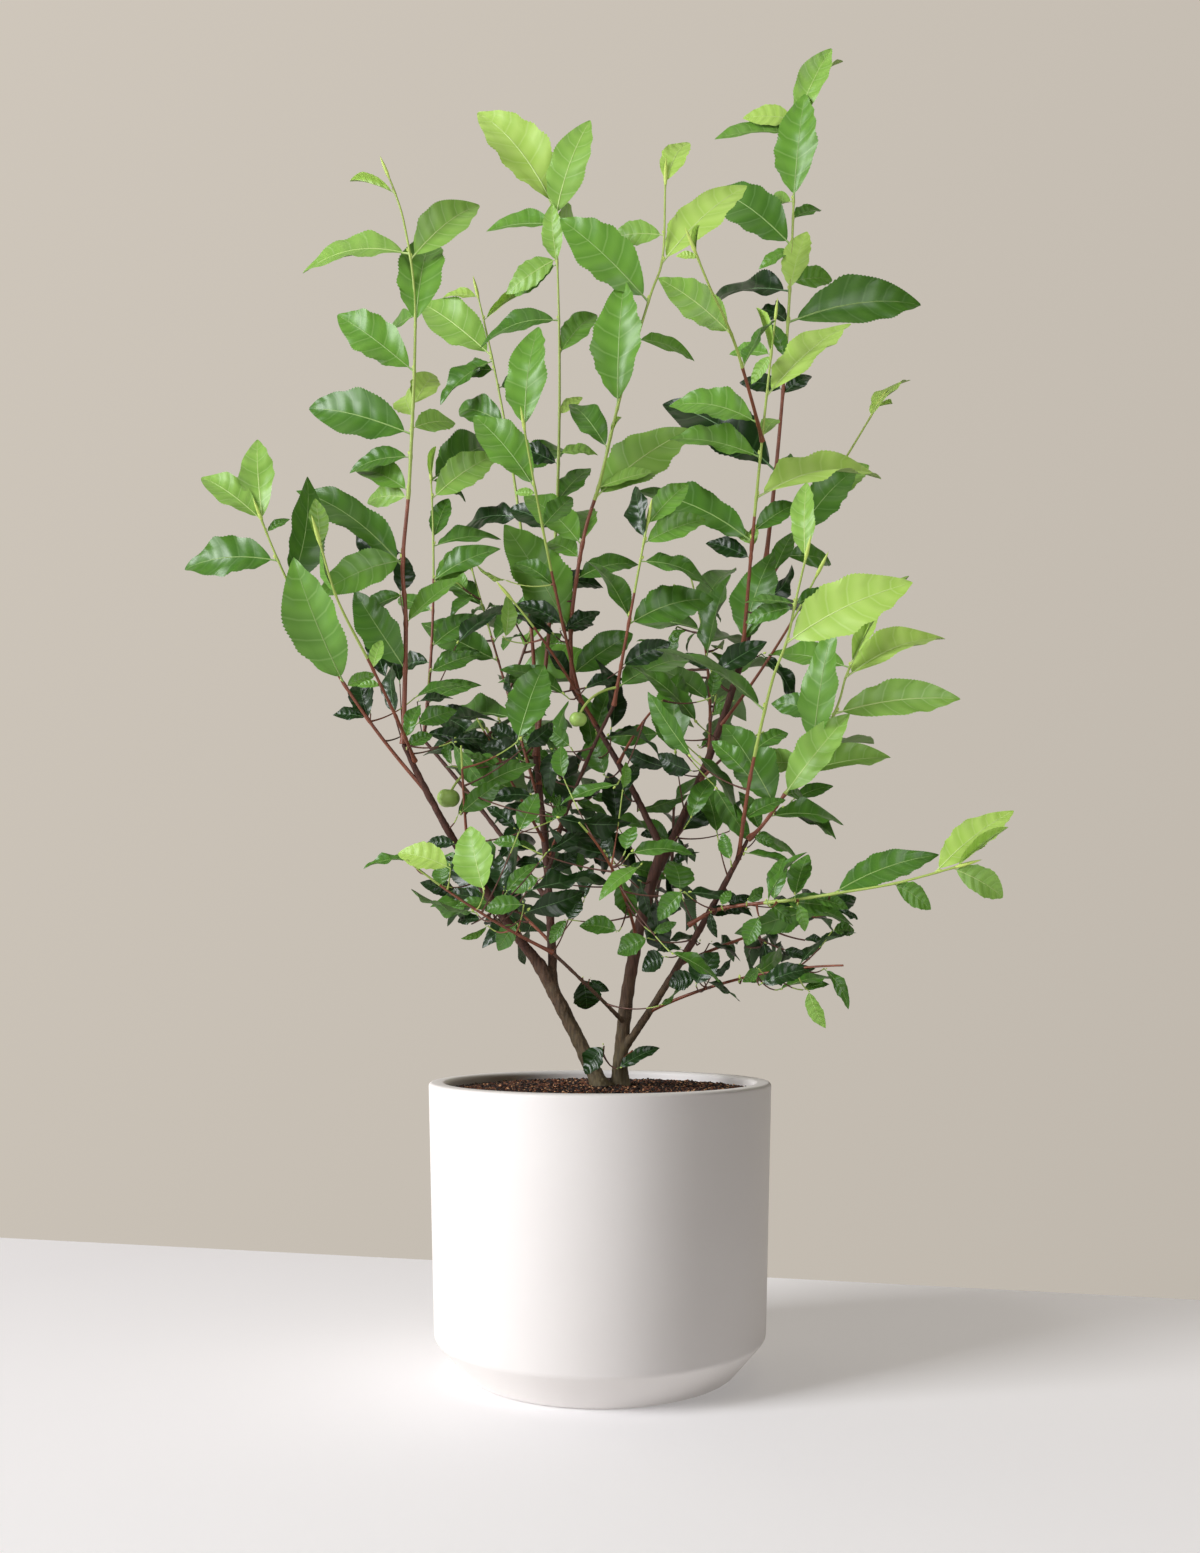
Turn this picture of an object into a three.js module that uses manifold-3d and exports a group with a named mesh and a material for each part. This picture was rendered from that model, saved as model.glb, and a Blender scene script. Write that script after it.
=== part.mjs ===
// A tea bush (Camellia sinensis) in a round pot. Millimetres, +Z up, origin under the middle of the pot.
// Limbs are tapering curves. On them grow leafy shoots by one seeded rule: leaves turn round their stem by
// the golden angle, face the light, and keep clear of each other and of every limb.
import * as THREE from 'three';
import { mergeVertices } from 'three/addons/utils/BufferGeometryUtils.js';
import Module from 'manifold-3d';

const wasm = await Module();
wasm.setup();

// Pot and soil ----------------------------------------------------------------------------------------------
const GAP = 0.3;                     // clear space between pieces that meet
const POT = { height: 215, rim: 127.5, shoulder: 123.5, foot: 100, chamfer: 28, wall: 13, floor: 14 };
const ROUNDING = 3;                  // radius of the pot's soft edges
const SOIL = { top: 211, edge: 208, level: 36 };   // level round the stems, falling to the pot's wall
const FACETS = 32;                   // facets round the pot

// Limbs run from a foot, or from a share of another limb, to a tip; their middle stands off by the bow.
// The girth is the radius at foot and tip.
const LIMBS = {
  stem_left: { foot: [0, 0, SOIL.top], tip: [-46, 14, 302], bow: [2, 0, -2], girth: [5.6, 5.0] },
  stem_right: { foot: [15, 6, SOIL.top], tip: [46, -8, 387], bow: [-7, 0, 0], girth: [5.6, 3.9] },
  stem_side: { from: ['stem_right', 0.14], tip: [104, -60, 389], bow: [2, -2, -3], girth: [3.2, 2.1] },
  bough_left: { from: ['stem_left', 1], tip: [-143, -30, 462], bow: [-5, 0, -3], girth: [3.9, 2.3] },
  bough_back: { from: ['stem_left', 0.8], tip: [-52, 70, 470], bow: [2, 6, 4], girth: [3.7, 2.3] },
  bough_inner: { from: ['bough_back', 0.34], tip: [-147, 110, 491], bow: [5, 6, -2], girth: [2.2, 1.7] },
  bough_crossing: { from: ['bough_back', 0.46], tip: [10, -40, 488], bow: [-4, -5, 0], girth: [1.7, 1.4] },
  bough_centre: { from: ['stem_right', 1], tip: [-21, 35, 516], bow: [3, 6, 2], girth: [2.7, 2.0] },
  bough_right: { from: ['stem_right', 0.88], tip: [128, 30, 614], bow: [8, 6, -6], girth: [3.6, 2.2] },
  branch_low: { from: ['stem_right', 0.27], tip: [-34, -50, 310], bow: [4, -10, -3], girth: [1.7, 1.3] },
};
const LIMB_SIDES = 6;
const LIMB_STEP = 22;                // distance between a limb's rings
const COLLAR = { reach: 7, root: 0.5, bough: 0.25 };   // how far a foot's swelling runs, and what it adds

// Leafy shoots: leaves and twigs are [how many, how long, leaves on each]. The lead is the way the top leaf
// points, in degrees round the stem, with 0 to the left and 90 to the front; tender is that leaf's size.
const SHOOTS = {
  shoot_tallest: { from: ['bough_right', 1], tip: [151, 30, 962], bow: [5, 0, 0], leaves: [18, 82], lead: 180,
    tender: 0.75, bare: 0.12, twigs: [1, 70, 3] },
  shoot_left_tall: { from: ['bough_left', 1], tip: [-157, -40, 866], bow: [9, -4, 0], leaves: [17, 76],
    lead: 0, bare: 0.12 },
  shoot_top_centre: { from: ['bough_back', 1], tip: [-36, 60, 905], bow: [10, 6, 0], leaves: [14, 88],
    lead: 10, tender: 1 },
  shoot_centre: { from: ['bough_centre', 1], tip: [48, -20, 874], bow: [-12, 0, 0], leaves: [15, 88],
    lead: 317, bare: 0.12 },
  shoot_back_top: { from: ['bough_back', 0.86], tip: [-105, 150, 880], bow: [10, 18, 10], leaves: [14, 76],
    lead: 0 },
  shoot_far_left: { from: ['bough_left', 0.8], tip: [-236, -70, 611], bow: [-9, 0, -6], leaves: [9, 76],
    lead: 190, tender: 0.55, twigs: [1, 60, 3] },
  shoot_side_outer: { from: ['stem_side', 1], tip: [166, -60, 506], bow: [-6, 0, -3], leaves: [12, 88],
    lead: 330 },
  shoot_right_low: { from: ['stem_side', 0.62], tip: [234, -100, 362], bow: [0, -4, -10], leaves: [9, 68],
    lead: 120, tender: 0.6, bare: 0.16 },
  shoot_right_back: { from: ['bough_right', 0.9], tip: [224, 80, 755], bow: [-4, 6, -8], leaves: [9, 72],
    lead: 180 },
  shoot_centre_left: { from: ['bough_centre', 0.92], tip: [-53, -60, 677], bow: [-2, -4, 0], leaves: [11, 86],
    lead: 90, tender: 1 },
  shoot_right_inner: { from: ['bough_right', 0.72], tip: [122, -70, 750], bow: [-2, -10, 0], leaves: [10, 80],
    lead: 180 },
  shoot_right_front: { from: ['bough_right', 0.58], tip: [62, -130, 765], bow: [14, -12, 0], leaves: [10, 76],
    lead: 0, tender: 0.85 },
  shoot_left_inner: { from: ['bough_left', 0.92], tip: [-184, -110, 607], bow: [-4, -6, 0], leaves: [8, 60],
    lead: 90 },
  shoot_left_side: { from: ['bough_inner', 1], tip: [-142, 120, 711], bow: [4, 6, 0], leaves: [11, 74],
    lead: 0, twigs: [1, 70, 3] },
  shoot_side_upright: { from: ['stem_side', 0.9], tip: [129, -120, 520], bow: [-5, -8, 0], leaves: [10, 78],
    lead: 180, tender: 1 },
  shoot_crossing: { from: ['bough_crossing', 1], tip: [32, -90, 600], bow: [0, -6, 0], leaves: [9, 66],
    lead: 180 },
  shoot_back_right: { from: ['bough_right', 0.4], tip: [78, 150, 640], bow: [8, 14, 0], leaves: [11, 70],
    lead: 180, twigs: [1, 60, 3] },
  shoot_back_left: { from: ['bough_back', 0.74], tip: [-112, 170, 650], bow: [0, 14, 0], leaves: [11, 70],
    lead: 0, twigs: [1, 60, 3] },
  spray_inner_left: { from: ['bough_back', 0.6], tip: [-92, -4, 486], bow: [0, -6, 0], leaves: [9, 60],
    lead: 60, twigs: [3, 44, 4], droop: 0.24 },
  spray_centre_mid: { from: ['bough_centre', 0.52], tip: [44, -66, 486], bow: [0, -6, 4], leaves: [9, 62],
    lead: 120, twigs: [3, 46, 4], droop: 0.2 },
  spray_right_mid: { from: ['bough_right', 0.32], tip: [120, -24, 472], bow: [0, -4, 4], leaves: [9, 62],
    lead: 160, twigs: [3, 44, 4], droop: 0.2 },
  spray_left_mid: { from: ['bough_left', 0.48], tip: [-96, -78, 452], bow: [0, -6, 2], leaves: [8, 58],
    lead: 140, twigs: [2, 44, 4], droop: 0.22 },
  spray_right_upper: { from: ['bough_right', 0.5], tip: [152, -62, 574], bow: [4, -6, 0], leaves: [9, 62],
    lead: 150, twigs: [2, 46, 4], droop: 0.18 },
  spray_upper_centre: { from: ['bough_centre', 0.76], tip: [-64, -34, 566], bow: [0, -6, 4], leaves: [9, 62],
    lead: 30, twigs: [2, 46, 4], droop: 0.18 },
  spray_back_mid: { from: ['bough_back', 0.5], tip: [-16, 128, 480], bow: [0, 8, 0], leaves: [9, 60],
    lead: 170, twigs: [2, 44, 4], droop: 0.2 },
  spray_centre_front: { from: ['stem_right', 0.62], tip: [-14, -110, 395], bow: [4, -8, 6], leaves: [9, 58],
    lead: 30, twigs: [3, 46, 4], droop: 0.24 },
  spray_centre_back: { from: ['stem_right', 0.78], tip: [70, 120, 400], bow: [0, 10, 4], leaves: [9, 58],
    lead: 200, twigs: [2, 46, 4], droop: 0.26 },
  spray_left_back: { from: ['bough_back', 0.18], tip: [-120, 132, 388], bow: [0, 8, 4], leaves: [9, 56],
    lead: 0, twigs: [2, 46, 4], droop: 0.16 },
  spray_right_front: { from: ['stem_side', 0.22], tip: [165, -95, 300], bow: [0, -5, 8], leaves: [9, 46],
    lead: 120, twigs: [1, 34, 3], droop: 0.24 },
  spray_right_back: { from: ['stem_side', 0.45], tip: [190, 62, 345], bow: [0, 8, 4], leaves: [9, 48],
    lead: 180, twigs: [1, 40, 3], droop: 0.22 },
  spray_low_left: { from: ['branch_low', 1], tip: [-132, -90, 372], bow: [0, -6, -4], leaves: [10, 54],
    lead: 0, bare: 0.15, twigs: [2, 44, 4], droop: 0.14 },
  sucker_left: { from: ['stem_left', 0.2], tip: [2, -16, 236], leaves: [2, 24], lead: 180, droop: 0.2 },
  sucker_right: { from: ['stem_right', 0.1], tip: [24, -12, 238], leaves: [2, 26], lead: 170, droop: 0.2 },
};
const SHOOT = { bow: [0, 0, 0], bare: 0.2, twigs: [0, 0, 0], droop: 0.08, tender: 0.42 };   // unless it says
const STEM = { tip: 1.1, foot: 1.1, gain: 0.0017, twig: [1.2, 1.1], stub: 1.5 };   // stem radii
const SAG = 0.4;                     // how far a stem's straight steps may stand off its curve

// Leaves ----------------------------------------------------------------------------------------------------
const GOLDEN = THREE.MathUtils.degToRad(137.5);
const LIGHT = new THREE.Vector3(-0.30, -0.84, 0.45);   // where the bush gets its light from
const TO_LIGHT = 0.8;                // how far a blade turns from its stem to the light
const DEPTH = 0.72;                  // the crown is a little shallower than it is wide
const STATIONS = [0.28, 0.68];       // shares of the blade where its outline has points
const SMALL = { blade: 62, stations: [0.42] };   // a short leaf has a plainer outline
const ROOT = { stalk: 0.07, sunk: 0.5 };   // the stalk's share of the length; how far a root is sunk
const THICKNESS = 0.016;             // of a blade's length
const BLADE = {                      // each leaf draws its own between these
  size: [0.9, 1.12], width: [0.4, 0.49], arch: [0.15, 0.8], fold: [0.12, 0.42], roll: [-0.55, 0.55],
};
const LOWEST = 0.84;                 // size of a shoot's lowest leaf, on the first third of the stem
const CROWDING = 0.92;               // under 1, leaves stand closer together at the tip
const SPREAD = {                     // degrees from the stem: at the top leaf, opening over some leaves
  main: { top: 20, opening: 32, leaves: 7 }, twig: { top: 30, opening: 20, leaves: 3 }, scatter: 14,
};
const TWIG = {                       // where side twigs leave their stem, and the sizes of their leaves
  first: 75, next: 150, lean: [0.62, 0.78], length: [0.85, 1.15], sag: 1.2, bare: 0.3,
  sizes: [0.55, 0.78, 0.92],
};
const CLEAR = 0.6;                   // what a leaf keeps to its neighbours
const TURNS = [0, 24, -24, 48, -48, 80, -80];   // degrees a leaf is turned by until it is clear

// Fruits hang from a share of a shoot's stem
const FRUITS = {
  spray_inner_left: { at: 0.7, hang: [-30, -14, -34], radius: 7 },
  shoot_crossing: { at: 0.1, hang: [-28, -16, -12], radius: 5.5 },
};

const UP = new THREE.Vector3(0, 0, 1);
const vec = (xyz) => new THREE.Vector3(...xyz);
const { lerp, degToRad } = THREE.MathUtils;

/** A quadratic curve from foot to tip whose middle stands off by the bow. */
function curve(foot, tip, bow) {
  const hub = foot.clone().add(tip).multiplyScalar(0.5).addScaledVector(bow, 2);
  return new THREE.QuadraticBezierCurve3(foot, hub, tip);
}

/** Repeatable draws between 0 and 1. */
function draws(seed) {
  THREE.MathUtils.seededRandom(seed);
  return () => THREE.MathUtils.seededRandom();
}

/** The part of a direction that is square to an axis. */
const squareTo = (a, axis) => a.clone().addScaledVector(axis, -a.dot(axis)).normalize();

/** Two directions square to an axis: the first to the left of an upright one, the second to the front. */
function around(axis) {
  const a = squareTo(new THREE.Vector3().crossVectors(axis, new THREE.Vector3(0, 1, 0)), axis);
  return [a, new THREE.Vector3().crossVectors(axis, a)];
}

/** The direction at an angle round an axis. */
function outward(axis, angle) {
  const [a, b] = around(axis);
  return a.multiplyScalar(Math.cos(angle)).addScaledVector(b, Math.sin(angle));
}

// Bodies ----------------------------------------------------------------------------------------------------
/** A closed body through rings of equal counts, each counter-clockwise seen from ahead. Its ends are flat, or
 *  come to a root and a tip. */
function loft(rings, root, tip) {
  const n = rings[0].length;
  const last = (rings.length - 1) * n;
  const points = rings.flat();
  const faces = [];
  const close = (k) => (k + 1) % n;
  if (root) {
    for (let k = 0; k < n; k++) faces.push(points.length, close(k), k);
    points.push(root);
  } else {
    for (let k = 1; k < n - 1; k++) faces.push(0, k + 1, k);
  }
  for (let i = 0; i < last; i += n) {
    for (let k = 0; k < n; k++) {
      const next = close(k);
      faces.push(i + k, i + next, i + n + next, i + k, i + n + next, i + n + k);
    }
  }
  if (tip) {
    for (let k = 0; k < n; k++) faces.push(last + k, last + close(k), points.length);
    points.push(tip);
  } else {
    for (let k = 1; k < n - 1; k++) faces.push(last, last + k, last + k + 1);
  }
  return new THREE.BufferGeometry().setFromPoints(points).setIndex(faces);
}

/** A ring of points round a centre, square to an axis. */
function ring(centre, axis, radius, sides) {
  return Array.from({ length: sides }, (_, k) =>
    outward(axis, 2 * Math.PI * k / sides).multiplyScalar(radius).add(centre));
}

/** A tapering three-sided rod along a path, in enough straight steps to keep within SAG of its bow. */
function rod(path, [foot, tip]) {
  const bow = path.getPoint(0.5).distanceTo(path.v0.clone().lerp(path.v2, 0.5));
  const steps = Math.ceil(Math.sqrt(bow / SAG)) || 1;
  return loft(Array.from({ length: steps + 1 }, (_, i) =>
    ring(path.getPoint(i / steps), path.getTangent(i / steps), lerp(foot, tip, i / steps), 3)));
}

/** The manifold solid of a closed geometry. */
function solid(geometry) {
  const bare = geometry.clone().deleteAttribute('normal').deleteAttribute('uv');
  const merged = mergeVertices(bare);
  return new wasm.Manifold(new wasm.Mesh({
    numProp: 3,
    vertProperties: merged.attributes.position.array,
    triVerts: Uint32Array.from(merged.index.array),
  }));
}

/** The largest body of a solid, without scraps or sealed hollows. */
function largest(body) {
  return body.decompose().reduce((a, b) => (a.volume() > b.volume() ? a : b));
}

/** A named mesh from a geometry or a solid. */
function piece(name, shape, material) {
  let geometry = shape;
  if (!shape.isBufferGeometry) {
    const { vertProperties, triVerts } = shape.getMesh();
    geometry = new THREE.BufferGeometry();
    geometry.setAttribute('position', new THREE.BufferAttribute(Float32Array.from(vertProperties), 3));
    geometry.setIndex(new THREE.BufferAttribute(Uint32Array.from(triVerts), 1));
    geometry.computeVertexNormals();
  }
  const mesh = new THREE.Mesh(geometry, material);
  mesh.name = name;
  return mesh;
}

// Keeping clear ---------------------------------------------------------------------------------------------
/** The faces, edges and box of a body, for the crossing test. */
function shell(geometry) {
  const { position } = geometry.attributes;
  const points = Array.from({ length: position.count }, (_, i) =>
    new THREE.Vector3().fromBufferAttribute(position, i));
  const index = geometry.index.array;
  const faces = [];
  const edges = new Map();
  for (let i = 0; i < index.length; i += 3) {
    const corners = [index[i], index[i + 1], index[i + 2]];
    faces.push(corners.map((c) => points[c]));
    corners.forEach((c, k) => {
      const pair = [c, corners[(k + 1) % 3]].sort((p, q) => p - q);
      edges.set(pair.join(), pair.map((p) => points[p]));
    });
  }
  return { faces, edges: [...edges.values()], box: new THREE.Box3().setFromPoints(points) };
}

const ray = new THREE.Ray();
const hit = new THREE.Vector3();

/** Whether an edge passes through a face. */
function pierces([p, q], [a, b, c]) {
  ray.origin.copy(p);
  ray.direction.subVectors(q, p).normalize();
  return ray.intersectTriangle(a, b, c, false, hit) !== null && hit.distanceTo(p) <= q.distanceTo(p);
}

/** Whether two bodies cross. */
function cross(a, b) {
  return a.box.intersectsBox(b.box) && (a.edges.some((edge) => b.faces.some((face) => pierces(edge, face)))
    || b.edges.some((edge) => a.faces.some((face) => pierces(edge, face))));
}

/** Short square sleeves along a path, a little wider than its rod, that a leaf keeps out of. */
function sleeves(owner, path, [foot, tip]) {
  const steps = Math.max(1, Math.round(path.getLength() / 22));
  return Array.from({ length: steps }, (_, i) => {
    const ends = [i / steps, (i + 1) / steps].map((t) => ring(path.getPoint(t), path.getTangent(t),
      1.3 * (lerp(foot, tip, t) + CLEAR), 4));
    return { owner, ...shell(loft(ends)) };
  });
}

// Growth ----------------------------------------------------------------------------------------------------
/** The limbs' paths, each from its own foot or from a share of the limb that bears it. */
const limbPaths = {};
for (const [name, { foot, from, tip, bow }] of Object.entries(LIMBS)) {
  limbPaths[name] = curve(foot ? vec(foot) : limbPaths[from[0]].getPoint(from[1]), vec(tip), vec(bow));
}

/** A leaf's draws and its place on a stem, before it is turned. */
function leaf(stem, at, azimuth, spread, size, droop, draw) {
  const between = ([low, high]) => lerp(low, high, draw());
  const roll = between(BLADE.roll);
  const length = size * between(BLADE.size);
  return {
    root: stem.path.getPoint(at), axis: stem.path.getTangent(at), owner: stem.owner, azimuth, spread, droop,
    roll, length, width: length * between(BLADE.width), arch: between(BLADE.arch) * (1 + droop),
    fold: between(BLADE.fold),
  };
}

/** A leaf's direction, face and side once its azimuth is turned by some degrees. */
function pose(blade, degrees) {
  const { axis, azimuth, spread, droop, roll } = blade;
  const out = outward(axis, azimuth + degToRad(degrees));
  out.y *= DEPTH;
  const way = axis.clone().multiplyScalar(Math.cos(spread));
  way.addScaledVector(out.normalize(), Math.sin(spread)).normalize();
  way.z -= droop;
  way.normalize();
  const face = squareTo(axis.clone().lerp(LIGHT, TO_LIGHT), way).applyAxisAngle(way, roll);
  return { ...blade, way, face, side: new THREE.Vector3().crossVectors(face, way) };
}

/** The leaf's ring at a share of its arched midrib: right edge, left edge and keel. */
function section({ root, way, face, side, length, width, arch, fold }, u) {
  const bend = arch * u;
  const along = length * (ROOT.stalk + Math.sin(bend) / arch);
  const middle = root.clone().addScaledVector(way, along)
    .addScaledVector(face, -length * (1 - Math.cos(bend)) / arch);
  const up = face.clone().multiplyScalar(Math.cos(bend)).addScaledVector(way, Math.sin(bend));
  const half = 0.5 * width * Math.sin(Math.PI * u ** 0.893) ** 0.85;
  const rim = (hand) => middle.clone().addScaledVector(side, hand * half * Math.cos(fold))
    .addScaledVector(up, half * Math.sin(fold));
  return [rim(1), rim(-1), middle.addScaledVector(up, -THICKNESS * length)];
}

/** A leaf as a closed body: its root sunk past the stem's middle, its sections and its tip. */
function blade(posed) {
  const root = posed.root.clone().addScaledVector(posed.way, -ROOT.sunk);
  const stations = posed.length < SMALL.blade ? SMALL.stations : STATIONS;
  return loft(stations.map((u) => section(posed, u)), root, section(posed, 1)[2]);
}

/** How far a leaf leans out from its stem, in radians: older leaves more. */
function leaning({ top, opening, leaves }, young, draw) {
  return degToRad(top + opening * Math.min(1, young / leaves) + SPREAD.scatter * (draw() - 0.5));
}

/** A shoot's stems and leaves, before crossing leaves are turned or dropped. */
function shoot(name, spec, seed) {
  const { from, tip, bow, bare, twigs, droop, leaves: [count, size], lead, tender } = { ...SHOOT, ...spec };
  const draw = draws(seed);
  const main = { owner: name, path: curve(limbPaths[from[0]].getPoint(from[1]), vec(tip), vec(bow)) };
  const reach = main.path.getLength();
  main.girth = [STEM.foot + STEM.gain * reach, STEM.tip];
  const stems = [main];
  const leaves = [];
  const first = degToRad(lead) - (count - 1) * GOLDEN;
  for (let i = 0; i < count; i++) {
    const share = i / (count - 1);
    const young = count - 1 - i;
    const at = lerp(bare, 1, share ** CROWDING) * (1 - STEM.stub / reach);
    const scale = lerp(tender, 1, Math.min(1, young / 3)) * lerp(LOWEST, 1, Math.min(1, 3 * share));
    const spread = leaning(SPREAD.main, young, draw);
    const azimuth = first + i * GOLDEN + 0.5 * (draw() - 0.5);
    leaves.push(leaf(main, at, azimuth, spread, size * scale, droop * Math.min(1, young / 3), draw));
  }
  const [twigCount, twigLength, twigLeaves] = twigs;
  for (let j = 0; j < twigCount; j++) {
    const at = bare + (0.9 - bare) * (j + 0.4) / twigCount;
    const azimuth = first + degToRad(TWIG.first + TWIG.next * j);
    const foot = main.path.getPoint(at);
    const way = main.path.getTangent(at).multiplyScalar(TWIG.lean[0])
      .addScaledVector(outward(main.path.getTangent(at), azimuth), TWIG.lean[1]).normalize();
    const end = foot.clone().addScaledVector(way, twigLength * lerp(...TWIG.length, draw()));
    const twig = { owner: `${name} ${j}`, path: curve(foot, end, vec([0, 0, -TWIG.sag])), girth: STEM.twig };
    stems.push(twig);
    for (let i = 0; i < twigLeaves; i++) {
      const share = i / (twigLeaves - 1);
      const young = twigLeaves - 1 - i;
      const place = lerp(TWIG.bare, 1, share) * (1 - STEM.stub / twigLength);
      const scale = TWIG.sizes[Math.min(young, 2)];
      leaves.push(leaf(twig, place, azimuth + i * GOLDEN, leaning(SPREAD.twig, young, draw), size * scale,
        droop, draw));
    }
  }
  return { name, from: from[0], stems, leaves };
}

/** A fruit on its bowed stalk: the two bodies, which are joined to the shoot. */
function fruit(stem, { at, hang, radius }) {
  const foot = stem.path.getPoint(at);
  const centre = foot.clone().add(vec(hang));
  const berry = new THREE.SphereGeometry(radius, 8, 6).rotateX(Math.PI / 2).scale(1, 1, 0.85);
  berry.translate(...centre);
  return [berry, rod(curve(foot, centre, vec([hang[0] * 0.12, hang[1] * 0.12, 4])), [0.9, 0.9])];
}

const shoots = Object.entries(SHOOTS).map(([name, spec], i) => shoot(name, spec, i + 1));
const kept = Object.entries(limbPaths).flatMap(([name, path]) => sleeves(name, path, LIMBS[name].girth));
for (const { stems: [main] } of shoots) kept.push(...sleeves(main.owner, main.path, main.girth));
for (const each of shoots) {
  each.fruits = FRUITS[each.name] ? fruit(each.stems[0], FRUITS[each.name]) : [];
  each.fruits.forEach((body) => kept.push({ owner: 'fruit', ...shell(mergeVertices(body.clone()
    .deleteAttribute('normal').deleteAttribute('uv'))) }));
}
for (const each of shoots) {
  const [main, ...twigs] = each.stems;
  each.stems = [main, ...twigs.filter((twig) => {
    const body = shell(rod(twig.path, twig.girth.map((r) => r + CLEAR)));
    const clear = !kept.some((other) => other.owner !== main.owner && cross(body, other));
    if (clear) kept.push(...sleeves(twig.owner, twig.path, twig.girth));
    return clear;
  })];
  each.owners = new Set(each.stems.map((stem) => stem.owner));
}

/** The first turned pose of a leaf that crosses nothing, or null. */
function settle(each) {
  for (const degrees of TURNS) {
    const posed = pose(each, degrees);
    const body = blade(posed);
    const bodies = [-CLEAR, 0, CLEAR].map((lift) => shell(body.clone()
      .translate(...posed.face.clone().multiplyScalar(lift))));
    if (!kept.some((other) => other.owner !== each.owner && bodies.some((own) => cross(own, other)))) {
      kept.push({ owner: 'leaf', ...bodies[1] });
      return body;
    }
  }
  return null;
}

// Materials -------------------------------------------------------------------------------------------------
const material = (color, roughness) => new THREE.MeshStandardMaterial({ color, roughness, metalness: 0 });
const GLAZE = material('#efebe6', 0.55);
const POTTING_MIX = material('#4a3426', 0.95);
const BARK = material('#6b4a35', 0.85);
const FOLIAGE = material('#4f8a3c', 0.5);

// Assembly --------------------------------------------------------------------------------------------------
const group = new THREE.Group();

/** A round edge between two straight runs of a profile. */
function rounded(corner, before, after) {
  const from = corner.clone().lerp(before, ROUNDING / corner.distanceTo(before));
  const to = corner.clone().lerp(after, ROUNDING / corner.distanceTo(after));
  return new THREE.QuadraticBezierCurve(from, corner, to).getPoints(1);
}

/** A turned body from corners that start and end on the axis, with those between them rounded. */
function turned(corners) {
  const points = corners.map(([r, z]) => new THREE.Vector2(r, z));
  const profile = points.flatMap((point, i) => (i > 0 && i < points.length - 1
    ? rounded(point, points[i - 1], points[i + 1]) : [point]));
  return new THREE.LatheGeometry(profile, FACETS).rotateX(Math.PI / 2);
}

const inner = POT.rim - POT.wall;
const potCorners = [
  [0, 0], [POT.foot, 0], [POT.shoulder, POT.chamfer], [POT.rim, POT.height],
  [inner, POT.height], [POT.shoulder - POT.wall, POT.chamfer + POT.floor / 2],
  [POT.foot - POT.floor / 2, POT.floor], [0, POT.floor],
];
group.add(piece('pot', turned(potCorners), GLAZE));

const soilCorners = [
  [0, POT.floor + GAP], [POT.foot - POT.floor / 2 - GAP, POT.floor + GAP],
  [POT.shoulder - POT.wall - GAP, POT.chamfer + POT.floor / 2 + GAP], [inner - GAP - 0.3, SOIL.edge],
  [SOIL.level, SOIL.top], [0, SOIL.top],
];
group.add(piece('potting_mix', turned(soilCorners), POTTING_MIX));

/** A limb's rod with its swollen foot, grown by some clearance; a rooted one starts on a level cut. */
function limbBody(name, grow) {
  const { girth: [foot, tip], foot: rooted } = LIMBS[name];
  const path = limbPaths[name];
  const reach = path.getLength();
  const swell = rooted ? COLLAR.root : COLLAR.bough;
  const near = [0, 4, 9, 15].map((d) => d / reach);
  const steps = Math.round(reach / LIMB_STEP);
  const far = Array.from({ length: steps }, (_, i) => lerp(24 / reach, 1, (i + 1) / steps));
  const rings = [...near, ...far].map((t) => {
    const level = rooted ? Math.max(0, 1 - t * reach / 15) : 0;
    const radius = lerp(foot, tip, t) * (1 + swell * Math.exp(-t * reach / COLLAR.reach)) + grow;
    const end = t === 1 ? grow : 0;
    const axis = path.getTangent(t).lerp(UP, level).normalize();
    return ring(path.getPoint(t).addScaledVector(axis, end), axis, radius, LIMB_SIDES);
  });
  return solid(loft(rings));
}

const spaces = {};
for (const name of Object.keys(LIMBS)) {
  spaces[name] = limbBody(name, GAP / Math.cos(Math.PI / LIMB_SIDES));
  const before = LIMBS[name].from ? [LIMBS[name].from[0]] : ['stem_left'].filter((other) => other !== name);
  const body = before.reduce((rest, other) => rest.subtract(spaces[other]), limbBody(name, 0));
  group.add(piece(name, largest(body), BARK));
}

for (const each of shoots) {
  const blades = each.leaves.filter((one) => each.owners.has(one.owner)).map(settle).filter(Boolean);
  const stems = each.stems.map(({ path, girth }) => rod(path, girth));
  const joined = [...stems, ...blades, ...each.fruits].map(solid).reduce((a, b) => a.add(b));
  group.add(piece(each.name, largest(joined.subtract(spaces[each.from])), FOLIAGE));
}
export default group;
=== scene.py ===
# %% [markdown]
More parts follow.
